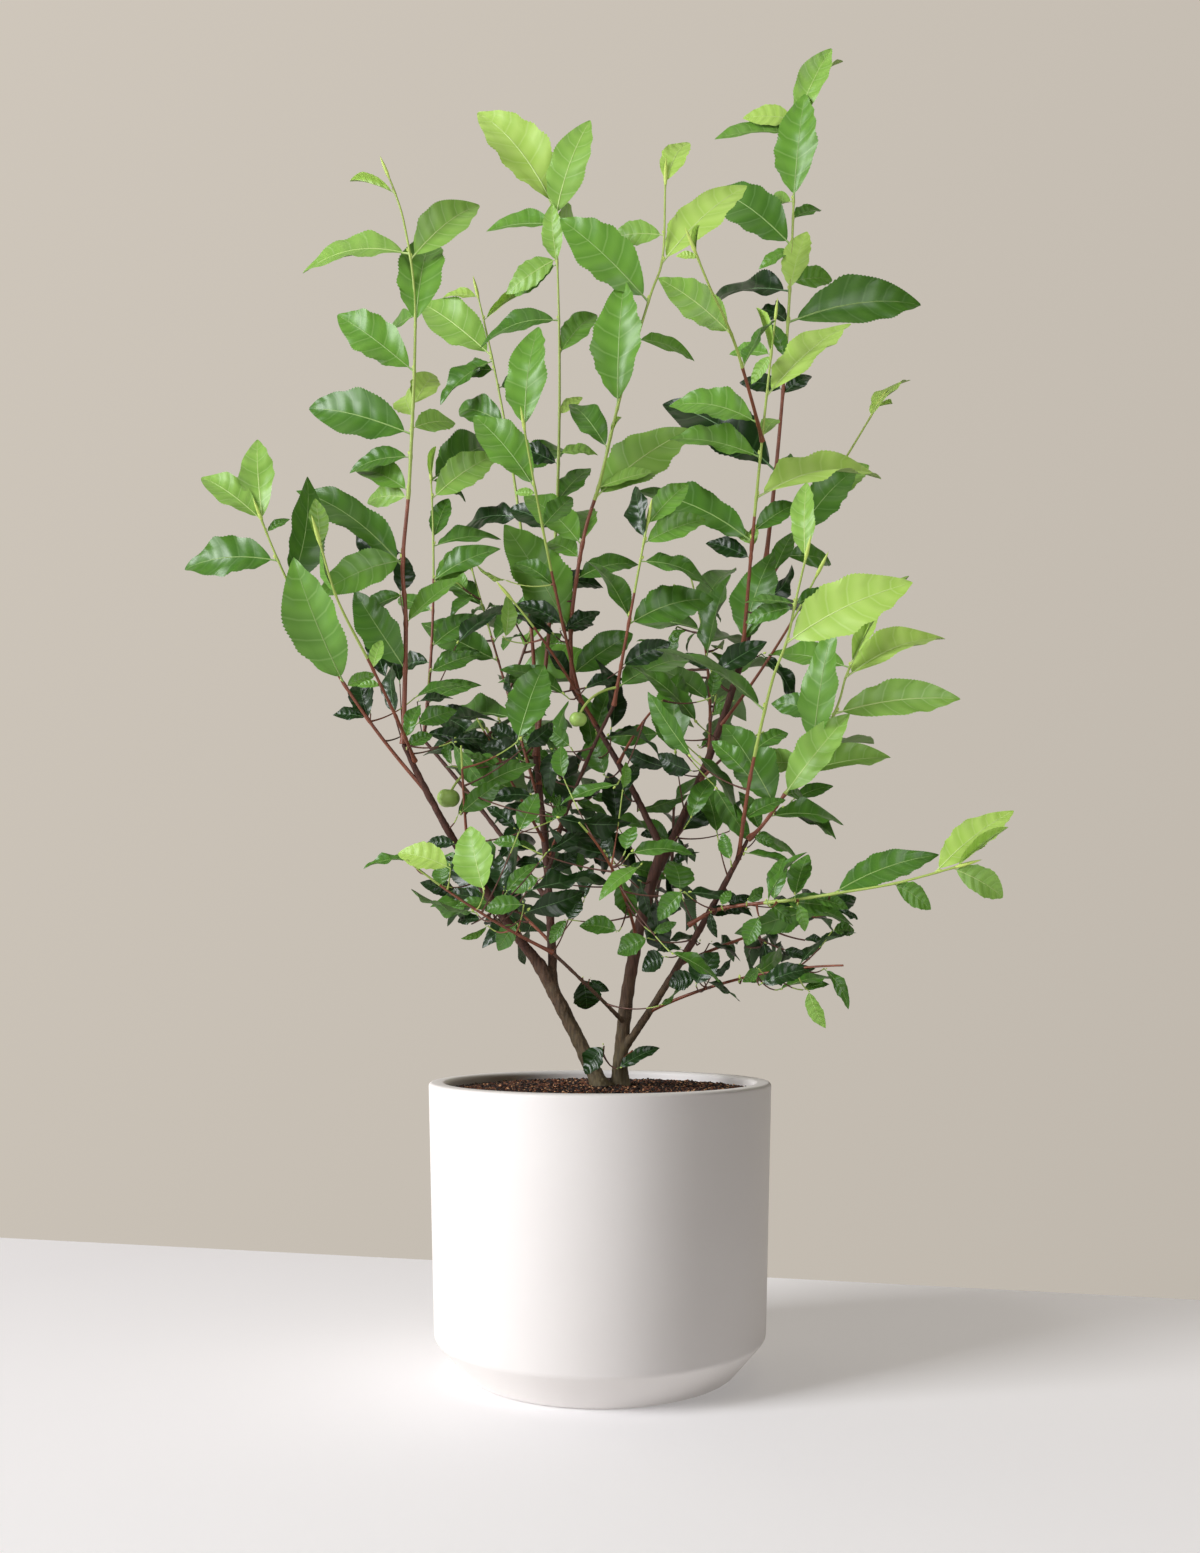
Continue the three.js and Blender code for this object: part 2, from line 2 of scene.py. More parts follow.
# # A tea bush in a white pot
# A tea bush is a small evergreen tree kept low. This one has two woody stems, a few slender boughs, long
# leafy shoots on top and a dense, dark heart of older leaves. The solid model gives the place of every stem
# and the rule by which leaves grow. The lesson sets the leaves that one sees one by one, grows the rest by
# that rule, and gives them finer shapes and real finishes. The first cell loads the solid model as a fixed
# frame, whose parts give the pot and the mix their sizes.

# %% Load the frame
import math
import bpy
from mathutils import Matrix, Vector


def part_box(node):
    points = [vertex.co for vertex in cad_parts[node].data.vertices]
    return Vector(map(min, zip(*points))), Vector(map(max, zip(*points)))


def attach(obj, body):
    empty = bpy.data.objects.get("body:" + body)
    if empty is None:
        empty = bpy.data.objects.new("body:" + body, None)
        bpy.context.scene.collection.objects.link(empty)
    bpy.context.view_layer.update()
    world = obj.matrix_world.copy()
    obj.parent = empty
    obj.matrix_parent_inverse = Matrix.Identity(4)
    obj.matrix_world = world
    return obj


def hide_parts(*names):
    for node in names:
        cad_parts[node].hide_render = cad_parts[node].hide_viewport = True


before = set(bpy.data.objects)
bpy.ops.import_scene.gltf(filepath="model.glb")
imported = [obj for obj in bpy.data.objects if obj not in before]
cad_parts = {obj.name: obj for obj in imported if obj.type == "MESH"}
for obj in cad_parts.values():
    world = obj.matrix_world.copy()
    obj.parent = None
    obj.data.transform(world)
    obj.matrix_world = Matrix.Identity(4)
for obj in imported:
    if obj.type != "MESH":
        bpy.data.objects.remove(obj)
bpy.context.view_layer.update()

from types import SimpleNamespace

import bpy
import numpy as np
from mathutils import Vector, noise
from mathutils.kdtree import KDTree

# %% [markdown]
# ## Helpers
# The plant's own sizes are written in millimetres, as a gardener would measure them, and a mesh is made in
# metres. Colours are written as the hex codes of a paint chart. Blender mixes light in linear values, so one
# function turns a code to linear. Another adds one node to any tree, with its settings and its links. Most
# natural finishes are a little mottled, so one function gives that tint.

# %% Units, colours, nodes and meshes
MM = 0.001


def linear(code):
    """A hex colour as the linear colour that a socket takes."""
    parts = [int(code[i:i + 2], 16) / 255 for i in (1, 3, 5)]
    return [p / 12.92 if p <= 0.04045 else ((p + 0.055) / 1.055) ** 2.4 for p in parts] + [1.0]


def add(tree, kind, inputs=(), **settings):
    """Adds a node with its settings; its inputs are values, sockets or nodes, by number or by name."""
    node = tree.nodes.new(kind)
    for name, value in settings.items():
        setattr(node, name, value)
    for key, value in inputs.items() if isinstance(inputs, dict) else enumerate(inputs):
        source = value.outputs[0] if isinstance(value, bpy.types.Node) else value
        if isinstance(source, bpy.types.NodeSocket):
            tree.links.new(source, node.inputs[key])
        elif source is not None:
            node.inputs[key].default_value = source
    return node


def mottled(tree, place, size, dark, light, detail=3.0):
    """Spots of some size in mm: how light each one is, and its tint between two hex colours."""
    spots = add(tree, "ShaderNodeTexNoise", {"Vector": place, "Scale": 1 / (size * MM), "Detail": detail})
    tint = add(tree, "ShaderNodeMix", {"Factor": spots, 6: linear(dark), 7: linear(light)},
               data_type="RGBA")
    return spots, tint.outputs[2]


def material(name):
    """An empty material, its node tree, and the place on the piece that its patterns follow."""
    made = bpy.data.materials.new(name)
    made.use_nodes = True
    made.node_tree.nodes.clear()
    place = add(made.node_tree, "ShaderNodeTexCoord").outputs["Object"]
    return made, made.node_tree, place


def shaped(name, points, faces=(), edges=()):
    """A smooth mesh object from points in millimetres."""
    mesh = bpy.data.meshes.new(name)
    mesh.from_pydata(np.asarray(points, float) * MM, edges, faces, shade_flat=False)
    obj = bpy.data.objects.new(name, mesh)
    bpy.context.collection.objects.link(obj)
    return obj


PLANT = ("foliage", "bark")                # slots of the plant itself
plant = bpy.data.collections.new("plant")


def settle_in(piece, slot, *nodes):
    """Attaches a finished piece to the root body, puts it in the plant's collection if its slot is one of the
    plant's, and hides the solids that it stands for.
    """
    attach(piece, "root")
    if slot in PLANT:
        plant.objects.link(piece)
    if nodes:
        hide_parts(*nodes)
    piece.data.calc_loop_triangles()
    print(f"{piece.name}: {len(piece.data.loop_triangles)} triangles")


# %% [markdown]
# ## Camera
# The bush is seen from a low stool, a metre away and level, a little above the pot's rim. A level camera
# keeps the pot's sides upright. To show the whole bush above that eye level the lens is shifted up, as on a
# view camera, instead of being tilted.

# %% Camera
EYE = (0, -993, 287)                 # where the camera stands, in mm
LENS = 30.7                          # mm, on a 36 mm sensor along the picture's long side
RISE = 0.134                         # of the long side: how far the lens is shifted up

camera = bpy.data.objects.new("camera", bpy.data.cameras.new("camera"))
camera.location = Vector(EYE) * MM
camera.rotation_euler = (math.radians(90), 0, 0)
camera.data.lens = LENS
camera.data.shift_y = RISE
bpy.context.collection.objects.link(camera)
bpy.context.scene.camera = camera
print("camera", -EYE[1], "mm away and", EYE[2], "mm up")

# %% [markdown]
# ## Studio
# The pot stands on a pale table whose back edge runs a little aslant, before a beige backdrop. One large soft
# light stands high on the left, and weaker ones hang above and in front, so the pot turns from bright to
# shaded and the leaves stay readable. The one in front reaches only the plant: light linking does here what a
# flag does in a studio, and keeps it off the pot and the table. The backdrop is a cloth lit from behind:
# evenly bright, a little less so at its right and its foot. Table and backdrop are stage pieces, which aren't
# part of the object.

# %% Table, backdrop and lights
TABLE = [(-3600, 1214), (3200, -428), (3200, -5000), (-3600, -5000)]   # corners of the table top, in mm
# painted light on the table: the lacquer grows paler to the right and to the front, and its glow lightens the
# shade and the pot's shadow on it
LACQUER_AND_PAINTED_LIGHT = dict(left="#dbd9da", right="#f8f7f7", reach=900, glow=0.185)  # reach in mm from the middle
WALL = dict(away=2400, half=6000, low=-1500, high=6000)
CLOTH = dict(base="#c5bdb2", side=1700, drop=2600, fades=0.11)         # mm from its middle, share lost there
LIGHTS = {                           # place and aim in mm, size in mm, watts, colour
    "key": ((-3180, -1560, 1760), (0, 0, 400), (1500, 2000), 166, "#fafbff"),
    "above": ((-200, -500, 3500), (0, 0, 300), (2400, 2400), 18, "#fff3e8"),
    "front": ((1400, -2350, 1500), (0, 0, 560), (1800, 1500), 36, "#fdfdff"),
}
FLAGGED = ("front",)                 # kept off the pot and the table
AIR = ("#ffdcbe", 0.012)             # light from all round


def paint(name, left, right, reach, glow):
    """Matt white lacquer for the table top, with painted light: paler to the right and to the front, and a
    faint painted glow that lightens its shade and the pot's shadow.
    """
    made, tree, place = material(name)
    spot = add(tree, "ShaderNodeSeparateXYZ", [place])
    across = add(tree, "ShaderNodeMath", [spot.outputs["X"], spot.outputs["Y"]], operation="SUBTRACT")
    share = add(tree, "ShaderNodeMapRange", [across, -reach * MM, reach * MM])
    # painted light: the table is paler to the right and to the front
    tint = add(tree, "ShaderNodeMix", {"Factor": share, 6: linear(left), 7: linear(right)}, data_type="RGBA")
    # painted glow: the emission lightens the table's shade and the pot's shadow on it
    look = add(tree, "ShaderNodeBsdfPrincipled", {
        "Base Color": tint.outputs[2], "Roughness": 0.8,
        "Emission Color": linear(right), "Emission Strength": glow})
    add(tree, "ShaderNodeOutputMaterial", [look])
    return made


def lit_cloth(name, base, side, drop, fades):
    """A beige cloth with light behind it: it glows by itself, and fades to the right and downwards."""
    made, tree, place = material(name)
    spot = add(tree, "ShaderNodeSeparateXYZ", [place])
    right = add(tree, "ShaderNodeMath", [spot.outputs["X"], fades / 2 / (side * MM), 0.0],
                operation="MULTIPLY_ADD")
    lower = add(tree, "ShaderNodeMath", [spot.outputs["Z"], -fades / 2 / (drop * MM), right],
                operation="MULTIPLY_ADD")
    bright = add(tree, "ShaderNodeMath", [1.0, lower], operation="SUBTRACT")
    glow = add(tree, "ShaderNodeEmission", [linear(base), bright])
    add(tree, "ShaderNodeOutputMaterial", [glow])
    return made


table = shaped("table", [(x, y, 0) for x, y in reversed(TABLE)], [(0, 1, 2, 3)])
table.data.materials.append(paint("white_table_lacquer", **LACQUER_AND_PAINTED_LIGHT))
corners = [(-1, "low"), (1, "low"), (1, "high"), (-1, "high")]
wall = shaped("backdrop", [(hand * WALL["half"], WALL["away"], WALL[end]) for hand, end in corners],
              [(0, 1, 2, 3)])
wall.data.materials.append(lit_cloth("beige_backdrop_cloth", **CLOTH))

for name, (place, aim, (wide, high), watts, colour) in LIGHTS.items():
    data = bpy.data.lights.new(name, "AREA")
    data.shape = "RECTANGLE"
    data.size = wide * MM
    data.size_y = high * MM
    data.energy = watts
    data.color = linear(colour)[:3]
    lamp = bpy.data.objects.new(name, data)
    lamp.location = Vector(place) * MM
    lamp.rotation_euler = (Vector(aim) - Vector(place)).to_track_quat("-Z", "Y").to_euler()
    if name in FLAGGED:
        lamp.light_linking.receiver_collection = plant
    bpy.context.collection.objects.link(lamp)

world = bpy.data.worlds.new("air")
bpy.context.scene.world = world
world.use_nodes = True
world.node_tree.nodes.clear()
air = add(world.node_tree, "ShaderNodeBackground", [linear(AIR[0]), AIR[1]])
add(world.node_tree, "ShaderNodeOutputWorld", [air])
bpy.context.scene.view_settings.view_transform = "Standard"
print(len(LIGHTS), "lights,", len(FLAGGED), "of them on the plant only")

# %% [markdown]
# ## Pot
# The pot is stoneware, cast in a mould and dipped in a matt white glaze. Its wall runs almost straight down
# to a wide chamfer. It could be a spun curve or a stack of bevelled rings. Here a profile of few corners is
# written down, each corner is given its own round edge as an arc, and the profile is turned round the axis.
# Its height and width come from the solid pot in the frame.

# %% Turn the pot
POT = {"shoulder": 0.969, "foot": 0.784, "chamfer": 28, "wall": 13, "floor": 14}   # shares of the rim, or mm
EDGES = dict(foot=9, shoulder=7, lip=2.6, mouth=3.4, inside=5)     # radii of the round edges, in mm
FACETS = 160


def arc(before, corner, after, radius, steps=6):
    """The points of a round edge of some radius at a profile's corner."""
    a = (before - corner).normalized()
    b = (after - corner).normalized()
    half = a.angle(b) / 2
    middle = corner + (a + b).normalized() * radius / math.sin(half)
    start = corner + a * radius / math.tan(half) - middle
    end = corner + b * radius / math.tan(half) - middle
    turn = start.angle_signed(end)
    return [middle + Vector((start.x * math.cos(s) + start.y * math.sin(s),
                             start.y * math.cos(s) - start.x * math.sin(s)))
            for s in (turn * i / steps for i in range(steps + 1))]


def turned(name, corners):
    """A closed body turned round the axis from corners (radius, height, edge radius) in millimetres."""
    spots = [Vector(c[:2]) for c in corners]
    profile = [spots[0]]
    for before, spot, after, corner in zip(spots, spots[1:], spots[2:], corners[1:]):
        profile += arc(before, spot, after, corner[2]) if corner[2] else [spot]
    profile.append(spots[-1])
    inside = profile[1:-1]
    points = [(0, 0, profile[0].y), (0, 0, profile[-1].y)]
    for k in range(FACETS):
        angle = 2 * math.pi * k / FACETS
        points += [(p.x * math.cos(angle), p.x * math.sin(angle), p.y) for p in inside]
    faces = []
    n = len(inside)
    for k in range(FACETS):
        here = 2 + k * n
        there = 2 + (k + 1) % FACETS * n
        faces.append((0, there, here))
        faces += [(here + i, there + i, there + i + 1, here + i + 1) for i in range(n - 1)]
        faces.append((here + n - 1, there + n - 1, 1))
    return shaped(name, points, faces)


pot_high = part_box("pot")[1]
rim = pot_high.x / MM
height = pot_high.z / MM
shoulder = rim * POT["shoulder"]
foot = rim * POT["foot"]
mouth = rim - POT["wall"]
inner_shoulder = shoulder - POT["wall"]
inner_chamfer = POT["chamfer"] + POT["floor"] / 2
inner_foot = foot - POT["floor"] / 2
pot = turned("pot_body", [
    (0, 0, 0), (foot, 0, EDGES["foot"]), (shoulder, POT["chamfer"], EDGES["shoulder"]),
    (rim, height, EDGES["lip"]), (mouth, height, EDGES["mouth"]),
    (inner_shoulder, inner_chamfer, EDGES["inside"]), (inner_foot, POT["floor"], EDGES["inside"]),
    (0, POT["floor"], 0)])
print("pot", round(2 * rim), "mm wide,", round(height), "mm high")

# %% [markdown]
# A matt glaze is full of tiny crystals: it scatters light, so it has no mirror image, only a broad soft
# highlight. Poured glaze is never quite even, so its white drifts a little over the width of a hand, and its
# skin has a faint orange-peel of about a millimetre and a half.

# %% Matt glaze
GLAZE = {"drift": 90, "peel": 1.6, "depth": 0.03}   # mm


def matt_white_glaze():
    """Stoneware glaze, fired matt: it looks dry and even, and edges look soft."""
    made, tree, place = material("matt_white_glaze")
    drift, tint = mottled(tree, place, GLAZE["drift"], "#ebe6e2", "#f1ede9")
    rough = add(tree, "ShaderNodeMapRange", [drift, 0.3, 0.7, 0.5, 0.6])
    peel = add(tree, "ShaderNodeTexNoise", {
        "Vector": place, "Scale": 1 / (GLAZE["peel"] * MM), "Detail": 2.0})
    skin = add(tree, "ShaderNodeBump", {"Height": peel, "Distance": GLAZE["depth"] * MM, "Strength": 0.6})
    look = add(tree, "ShaderNodeBsdfPrincipled", {
        "Base Color": tint, "Roughness": rough, "IOR": 1.5, "Normal": skin})
    add(tree, "ShaderNodeOutputMaterial", [look])
    return made


pot.data.materials.append(matt_white_glaze())
settle_in(pot, "pot", "pot")

# %% [markdown]
# ## Potting mix
# The mix is damp peat with shredded bark. Its surface is lumpy, a little higher round the stems, and strewn
# with chips of two to five millimetres, mostly dark, some brown, a few pale tan. The lumps are noise on a
# turned body. The chips could be a particle system, but the export drops those, so Geometry Nodes scatter
# them.

# %% Lumpy body of the mix
MIX = dict(lump=7, rise=1.3, sunk=0.5, beside=0.6, above=0.4)   # mm: its lumps, and what it keeps to the pot
RINGS = 26                                 # of the top
LEVEL = 36                                 # radius of the level middle, in mm
FALL = 3                                   # mm that the top falls from there to the wall

mix_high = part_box("potting_mix")[1]
mix_top = mix_high.z / MM
mix_edge = mix_high.x / MM
mix_foot = POT["floor"] + MIX["above"]
top_radii = np.linspace(mix_edge, 0, RINGS)[:-1]
mix_corners = [(0, mix_foot, 0), (inner_foot - MIX["beside"], mix_foot, 0),
               (inner_shoulder - MIX["beside"], inner_chamfer + MIX["above"], 0)]
for radius in top_radii:
    mix_corners.append((radius, mix_top - FALL * max(0, (radius - LEVEL) / (mix_edge - LEVEL)), 0))
mix_corners.append((0, mix_top, 0))
mix = turned("potting_mix_body", mix_corners)
for vertex in mix.data.vertices:
    spot = vertex.co / MM
    if spot.z > mix_top - FALL - 1 and spot.xy.length < mix_edge - 1:
        vertex.co.z += MM * (MIX["rise"] * noise.noise(spot / MIX["lump"]) - MIX["sunk"])
print("the mix fills the pot to", round(mix_top), "mm")

# %% [markdown]
# Wet peat is nearly black-brown and dull. Between the crumbs it is darker still, which noise at the size of
# the crumbs shows well enough, with a bump for their roundness.

# %% Peat
CRUMB = dict(size=3, depth=1.5)            # mm


def damp_peat():
    """Sphagnum peat, wet and pressed by hand: dull, dark, with a crumb of about three millimetres."""
    made, tree, place = material("damp_peat")
    crumb, tint = mottled(tree, place, CRUMB["size"], "#1c120c", "#5a3a28", 4.0)
    bump = add(tree, "ShaderNodeBump", {"Height": crumb, "Distance": CRUMB["depth"] * MM, "Strength": 1.0})
    look = add(tree, "ShaderNodeBsdfPrincipled", {
        "Base Color": tint, "Roughness": 0.92, "Normal": bump})
    add(tree, "ShaderNodeOutputMaterial", [look])
    return made


mix.data.materials.append(damp_peat())
settle_in(mix, "potting_mix", "potting_mix")

# %% [markdown]
# ## Running a node tree
# A Geometry Nodes modifier takes its inputs by the identifier of each socket. The result is baked to a plain
# mesh and the modifier goes, so what is left is an ordinary piece.

# %% Bake a tree to a mesh
def node_tree(name, **sockets):
    """A Geometry Nodes tree with named inputs, and its input node."""
    tree = bpy.data.node_groups.new(name, "GeometryNodeTree")
    tree.interface.new_socket("Geometry", in_out="OUTPUT", socket_type="NodeSocketGeometry")
    tree.interface.new_socket("Geometry", in_out="INPUT", socket_type="NodeSocketGeometry")
    for label, kind in sockets.items():
        tree.interface.new_socket(label, in_out="INPUT", socket_type="NodeSocket" + kind)
    return tree, tree.nodes.new("NodeGroupInput")


def ended(tree, given, shape):
    """The end of a tree: its copies are made real and take their finish."""
    real = add(tree, "GeometryNodeRealizeInstances", [shape])
    done = add(tree, "GeometryNodeSetMaterial", {"Geometry": real, "Material": given.outputs["Finish"]})
    add(tree, "NodeGroupOutput", [done])
    return tree


def bake(carrier, tree, **values):
    """Runs a tree on an object, which then is the plain mesh that the tree makes."""
    modifier = carrier.modifiers.new(tree.name, "NODES")
    modifier.node_group = tree
    for item in tree.interface.items_tree:
        if item.in_out == "INPUT" and item.name in values:
            modifier[item.identifier] = values[item.name]
    bpy.context.view_layer.update()
    seen = bpy.context.evaluated_depsgraph_get()
    mesh = bpy.data.meshes.new_from_object(carrier.evaluated_get(seen))
    carrier.modifiers.clear()
    carrier.data = mesh
    mesh.name = carrier.name
    keep = {"position", "UVMap", "sharp_edge", "sharp_face", "material_index"}
    for name in [a.name for a in mesh.attributes if a.name not in keep and not a.name.startswith(".")]:
        mesh.attributes.remove(mesh.attributes[name])
    return carrier


def carry(obj, **columns):
    """Stores numbers or directions on an object's points, for a tree to read by name."""
    for name, column in columns.items():
        column = np.asarray(column, np.float32)
        kind = "FLOAT_VECTOR" if column.ndim == 2 else "FLOAT"
        layer = obj.data.attributes.new(name, kind, "POINT")
        layer.data.foreach_set("vector" if column.ndim == 2 else "value", column.ravel())


# %% [markdown]
# ## Chips
# A chip of bark is a splinter: longer than wide, with a broken end. One splinter of eight corners is
# scattered by Poisson disk, which keeps chips from lying on one spot, and turned and scaled at random with a
# fixed seed.

# %% Scatter chips
SPLINTER = [(-1, -0.35, 0), (-0.7, 0.4, 0.1), (0.9, 0.3, -0.1), (1.0, -0.3, 0.05), (-0.8, -0.3, 0.5),
            (-0.5, 0.25, 0.55), (0.6, 0.2, 0.45), (0.8, -0.2, 0.5)]
SPLINTER_FACES = [(0, 1, 2, 3), (7, 6, 5, 4), (0, 4, 5, 1), (1, 5, 6, 2), (2, 6, 7, 3), (3, 7, 4, 0)]
CHIPS = {                            # least and most half length, least spacing (mm), seed, two colours
    "chips_dark": (1.0, 2.6, 2.7, 11, "#0f0805", "#2c190f"),
    "chips_brown": (0.9, 2.4, 3.4, 12, "#54301c", "#80492c"),
    "chips_tan": (0.7, 2.0, 4.4, 13, "#bd7f4e", "#e0b184"),
}
UPWARD = 0.7                         # a face points up if the z of its normal is more
DENSEST = 500000.0                   # chips on a square metre, before the spacing thins them
FIBRE = 2.5                          # mm


def chip_tree():
    """Chips on the upward faces of a body."""
    tree, given = node_tree("scatter_chips", Chip="Object", Smallest="Float", Largest="Float",
                            Spacing="Float", Seed="Int", Finish="Material")
    normal = add(tree, "GeometryNodeInputNormal")
    height = add(tree, "ShaderNodeSeparateXYZ", [normal])
    upward = add(tree, "FunctionNodeCompare", [height.outputs["Z"], UPWARD], operation="GREATER_THAN")
    points = add(tree, "GeometryNodeDistributePointsOnFaces", {
        "Mesh": given.outputs["Geometry"], "Selection": upward, "Distance Min": given.outputs["Spacing"],
        "Density Max": DENSEST, "Seed": given.outputs["Seed"]}, distribute_method="POISSON")
    chip = add(tree, "GeometryNodeObjectInfo", [given.outputs["Chip"]])
    tilt = add(tree, "FunctionNodeRandomValue", {0: (-0.5, -0.5, 0.0), 1: (0.5, 0.5, 6.283),
               "Seed": given.outputs["Seed"]}, data_type="FLOAT_VECTOR")
    size = add(tree, "FunctionNodeRandomValue", {2: given.outputs["Smallest"], 3: given.outputs["Largest"],
               "Seed": given.outputs["Seed"]}, data_type="FLOAT")
    turn = add(tree, "FunctionNodeEulerToRotation", [tilt])
    strewn = add(tree, "GeometryNodeInstanceOnPoints", {
        "Points": points, "Instance": chip.outputs["Geometry"], "Rotation": turn, "Scale": size.outputs[1]})
    return ended(tree, given, strewn)


def bark_chip(name, dark, light):
    """Shredded pine bark: dry, fibrous, each splinter a little different."""
    made, tree, place = material(name)
    tint = mottled(tree, place, FIBRE, dark, light)[1]
    look = add(tree, "ShaderNodeBsdfPrincipled", {"Base Color": tint, "Roughness": 0.85})
    add(tree, "ShaderNodeOutputMaterial", [look])
    return made


splinter = shaped("splinter", np.array(SPLINTER) / MM, SPLINTER_FACES)
chips = chip_tree()
for name, (smallest, largest, spacing, seed, dark, light) in CHIPS.items():
    strewn = bpy.data.objects.new(name, mix.data.copy())
    bpy.context.collection.objects.link(strewn)
    strewn.data.materials.clear()
    bake(strewn, chips, Chip=splinter, Smallest=smallest * MM, Largest=largest * MM, Spacing=spacing * MM,
         Seed=seed, Finish=bark_chip(name.replace("chips", "bark_chip"), dark, light))
    settle_in(strewn, "potting_mix")
bpy.data.objects.remove(splinter)

# %% [markdown]
# ## Limbs
# Two stems rise from one foot and fork into boughs. Each limb is a bowed, tapering curve that starts at a
# share of the limb that bears it. The numbers are the solid model's own, in millimetres: foot or bearer, tip,
# how far the middle stands off the straight line, and the radius at foot and tip.

# %% Paths of the limbs
LIMBS = {
    "stem_left": dict(foot=(0, 0, 211), tip=(-46, 14, 302), bow=(2, 0, -2), girth=(5.6, 5.0)),
    "stem_right": dict(foot=(15, 6, 211), tip=(46, -8, 387), bow=(-7, 0, 0), girth=(5.6, 3.9)),
    "stem_side": dict(on=("stem_right", 0.14), tip=(104, -60, 389), bow=(2, -2, -3), girth=(3.2, 2.1)),
    "bough_left": dict(on=("stem_left", 1), tip=(-143, -30, 462), bow=(-5, 0, -3), girth=(3.9, 2.3)),
    "bough_back": dict(on=("stem_left", 0.8), tip=(-52, 70, 470), bow=(2, 6, 4), girth=(3.7, 2.3)),
    "bough_inner": dict(on=("bough_back", 0.34), tip=(-147, 110, 491), bow=(5, 6, -2), girth=(2.2, 1.7)),
    "bough_crossing": dict(on=("bough_back", 0.46), tip=(10, -40, 488), bow=(-4, -5, 0), girth=(1.7, 1.4)),
    "bough_centre": dict(on=("stem_right", 1), tip=(-21, 35, 516), bow=(3, 6, 2), girth=(2.7, 2.0)),
    "bough_right": dict(on=("stem_right", 0.88), tip=(128, 30, 614), bow=(8, 6, -6), girth=(3.6, 2.2)),
    "branch_low": dict(on=("stem_right", 0.27), tip=(-34, -50, 310), bow=(4, -10, -3), girth=(1.7, 1.3)),
}


class Path:
    """A quadratic curve from foot to tip whose middle stands off by the bow."""

    def __init__(self, foot, tip, bow):
        self.foot = np.asarray(foot, float)
        self.tip = np.asarray(tip, float)
        self.hub = (self.foot + self.tip) / 2 + 2 * np.asarray(bow, float)
        steps = np.array([self.point(t) for t in np.linspace(0, 1, 201)])
        self.length = np.linalg.norm(np.diff(steps, axis=0), axis=1).sum()

    def point(self, t):
        return (1 - t) ** 2 * self.foot + 2 * t * (1 - t) * self.hub + t * t * self.tip

    def way(self, t):
        return unit((1 - t) * (self.hub - self.foot) + t * (self.tip - self.hub))


def unit(v):
    return v / np.linalg.norm(v)


def lerp(a, b, t):
    return a + (b - a) * t


paths = {}
for name, limb in LIMBS.items():
    start = limb["foot"] if "foot" in limb else paths[limb["on"][0]].point(limb["on"][1])
    paths[name] = Path(start, limb["tip"], limb["bow"])
print(len(paths), "limbs,", round(sum(path.length for path in paths.values())), "mm in all")

# %% [markdown]
# ## The growth rule
# Tea sets one leaf at a time, each turned from the last by the golden angle, so that no leaf shades the next.
# Blades lean out more as they age and turn their faces to the light. Each shoot draws its small differences
# from a counter of its own, so the plant grows the same each time. A row says which limb bears the shoot, its
# tip and bow, and how fresh its green is. Where the rule sets the leaves it also gives their count and
# length, the way that the top leaf points, the side twigs as a count, a length and their leaves, and last how
# far the leaves droop and how much of the stem's foot is bare.

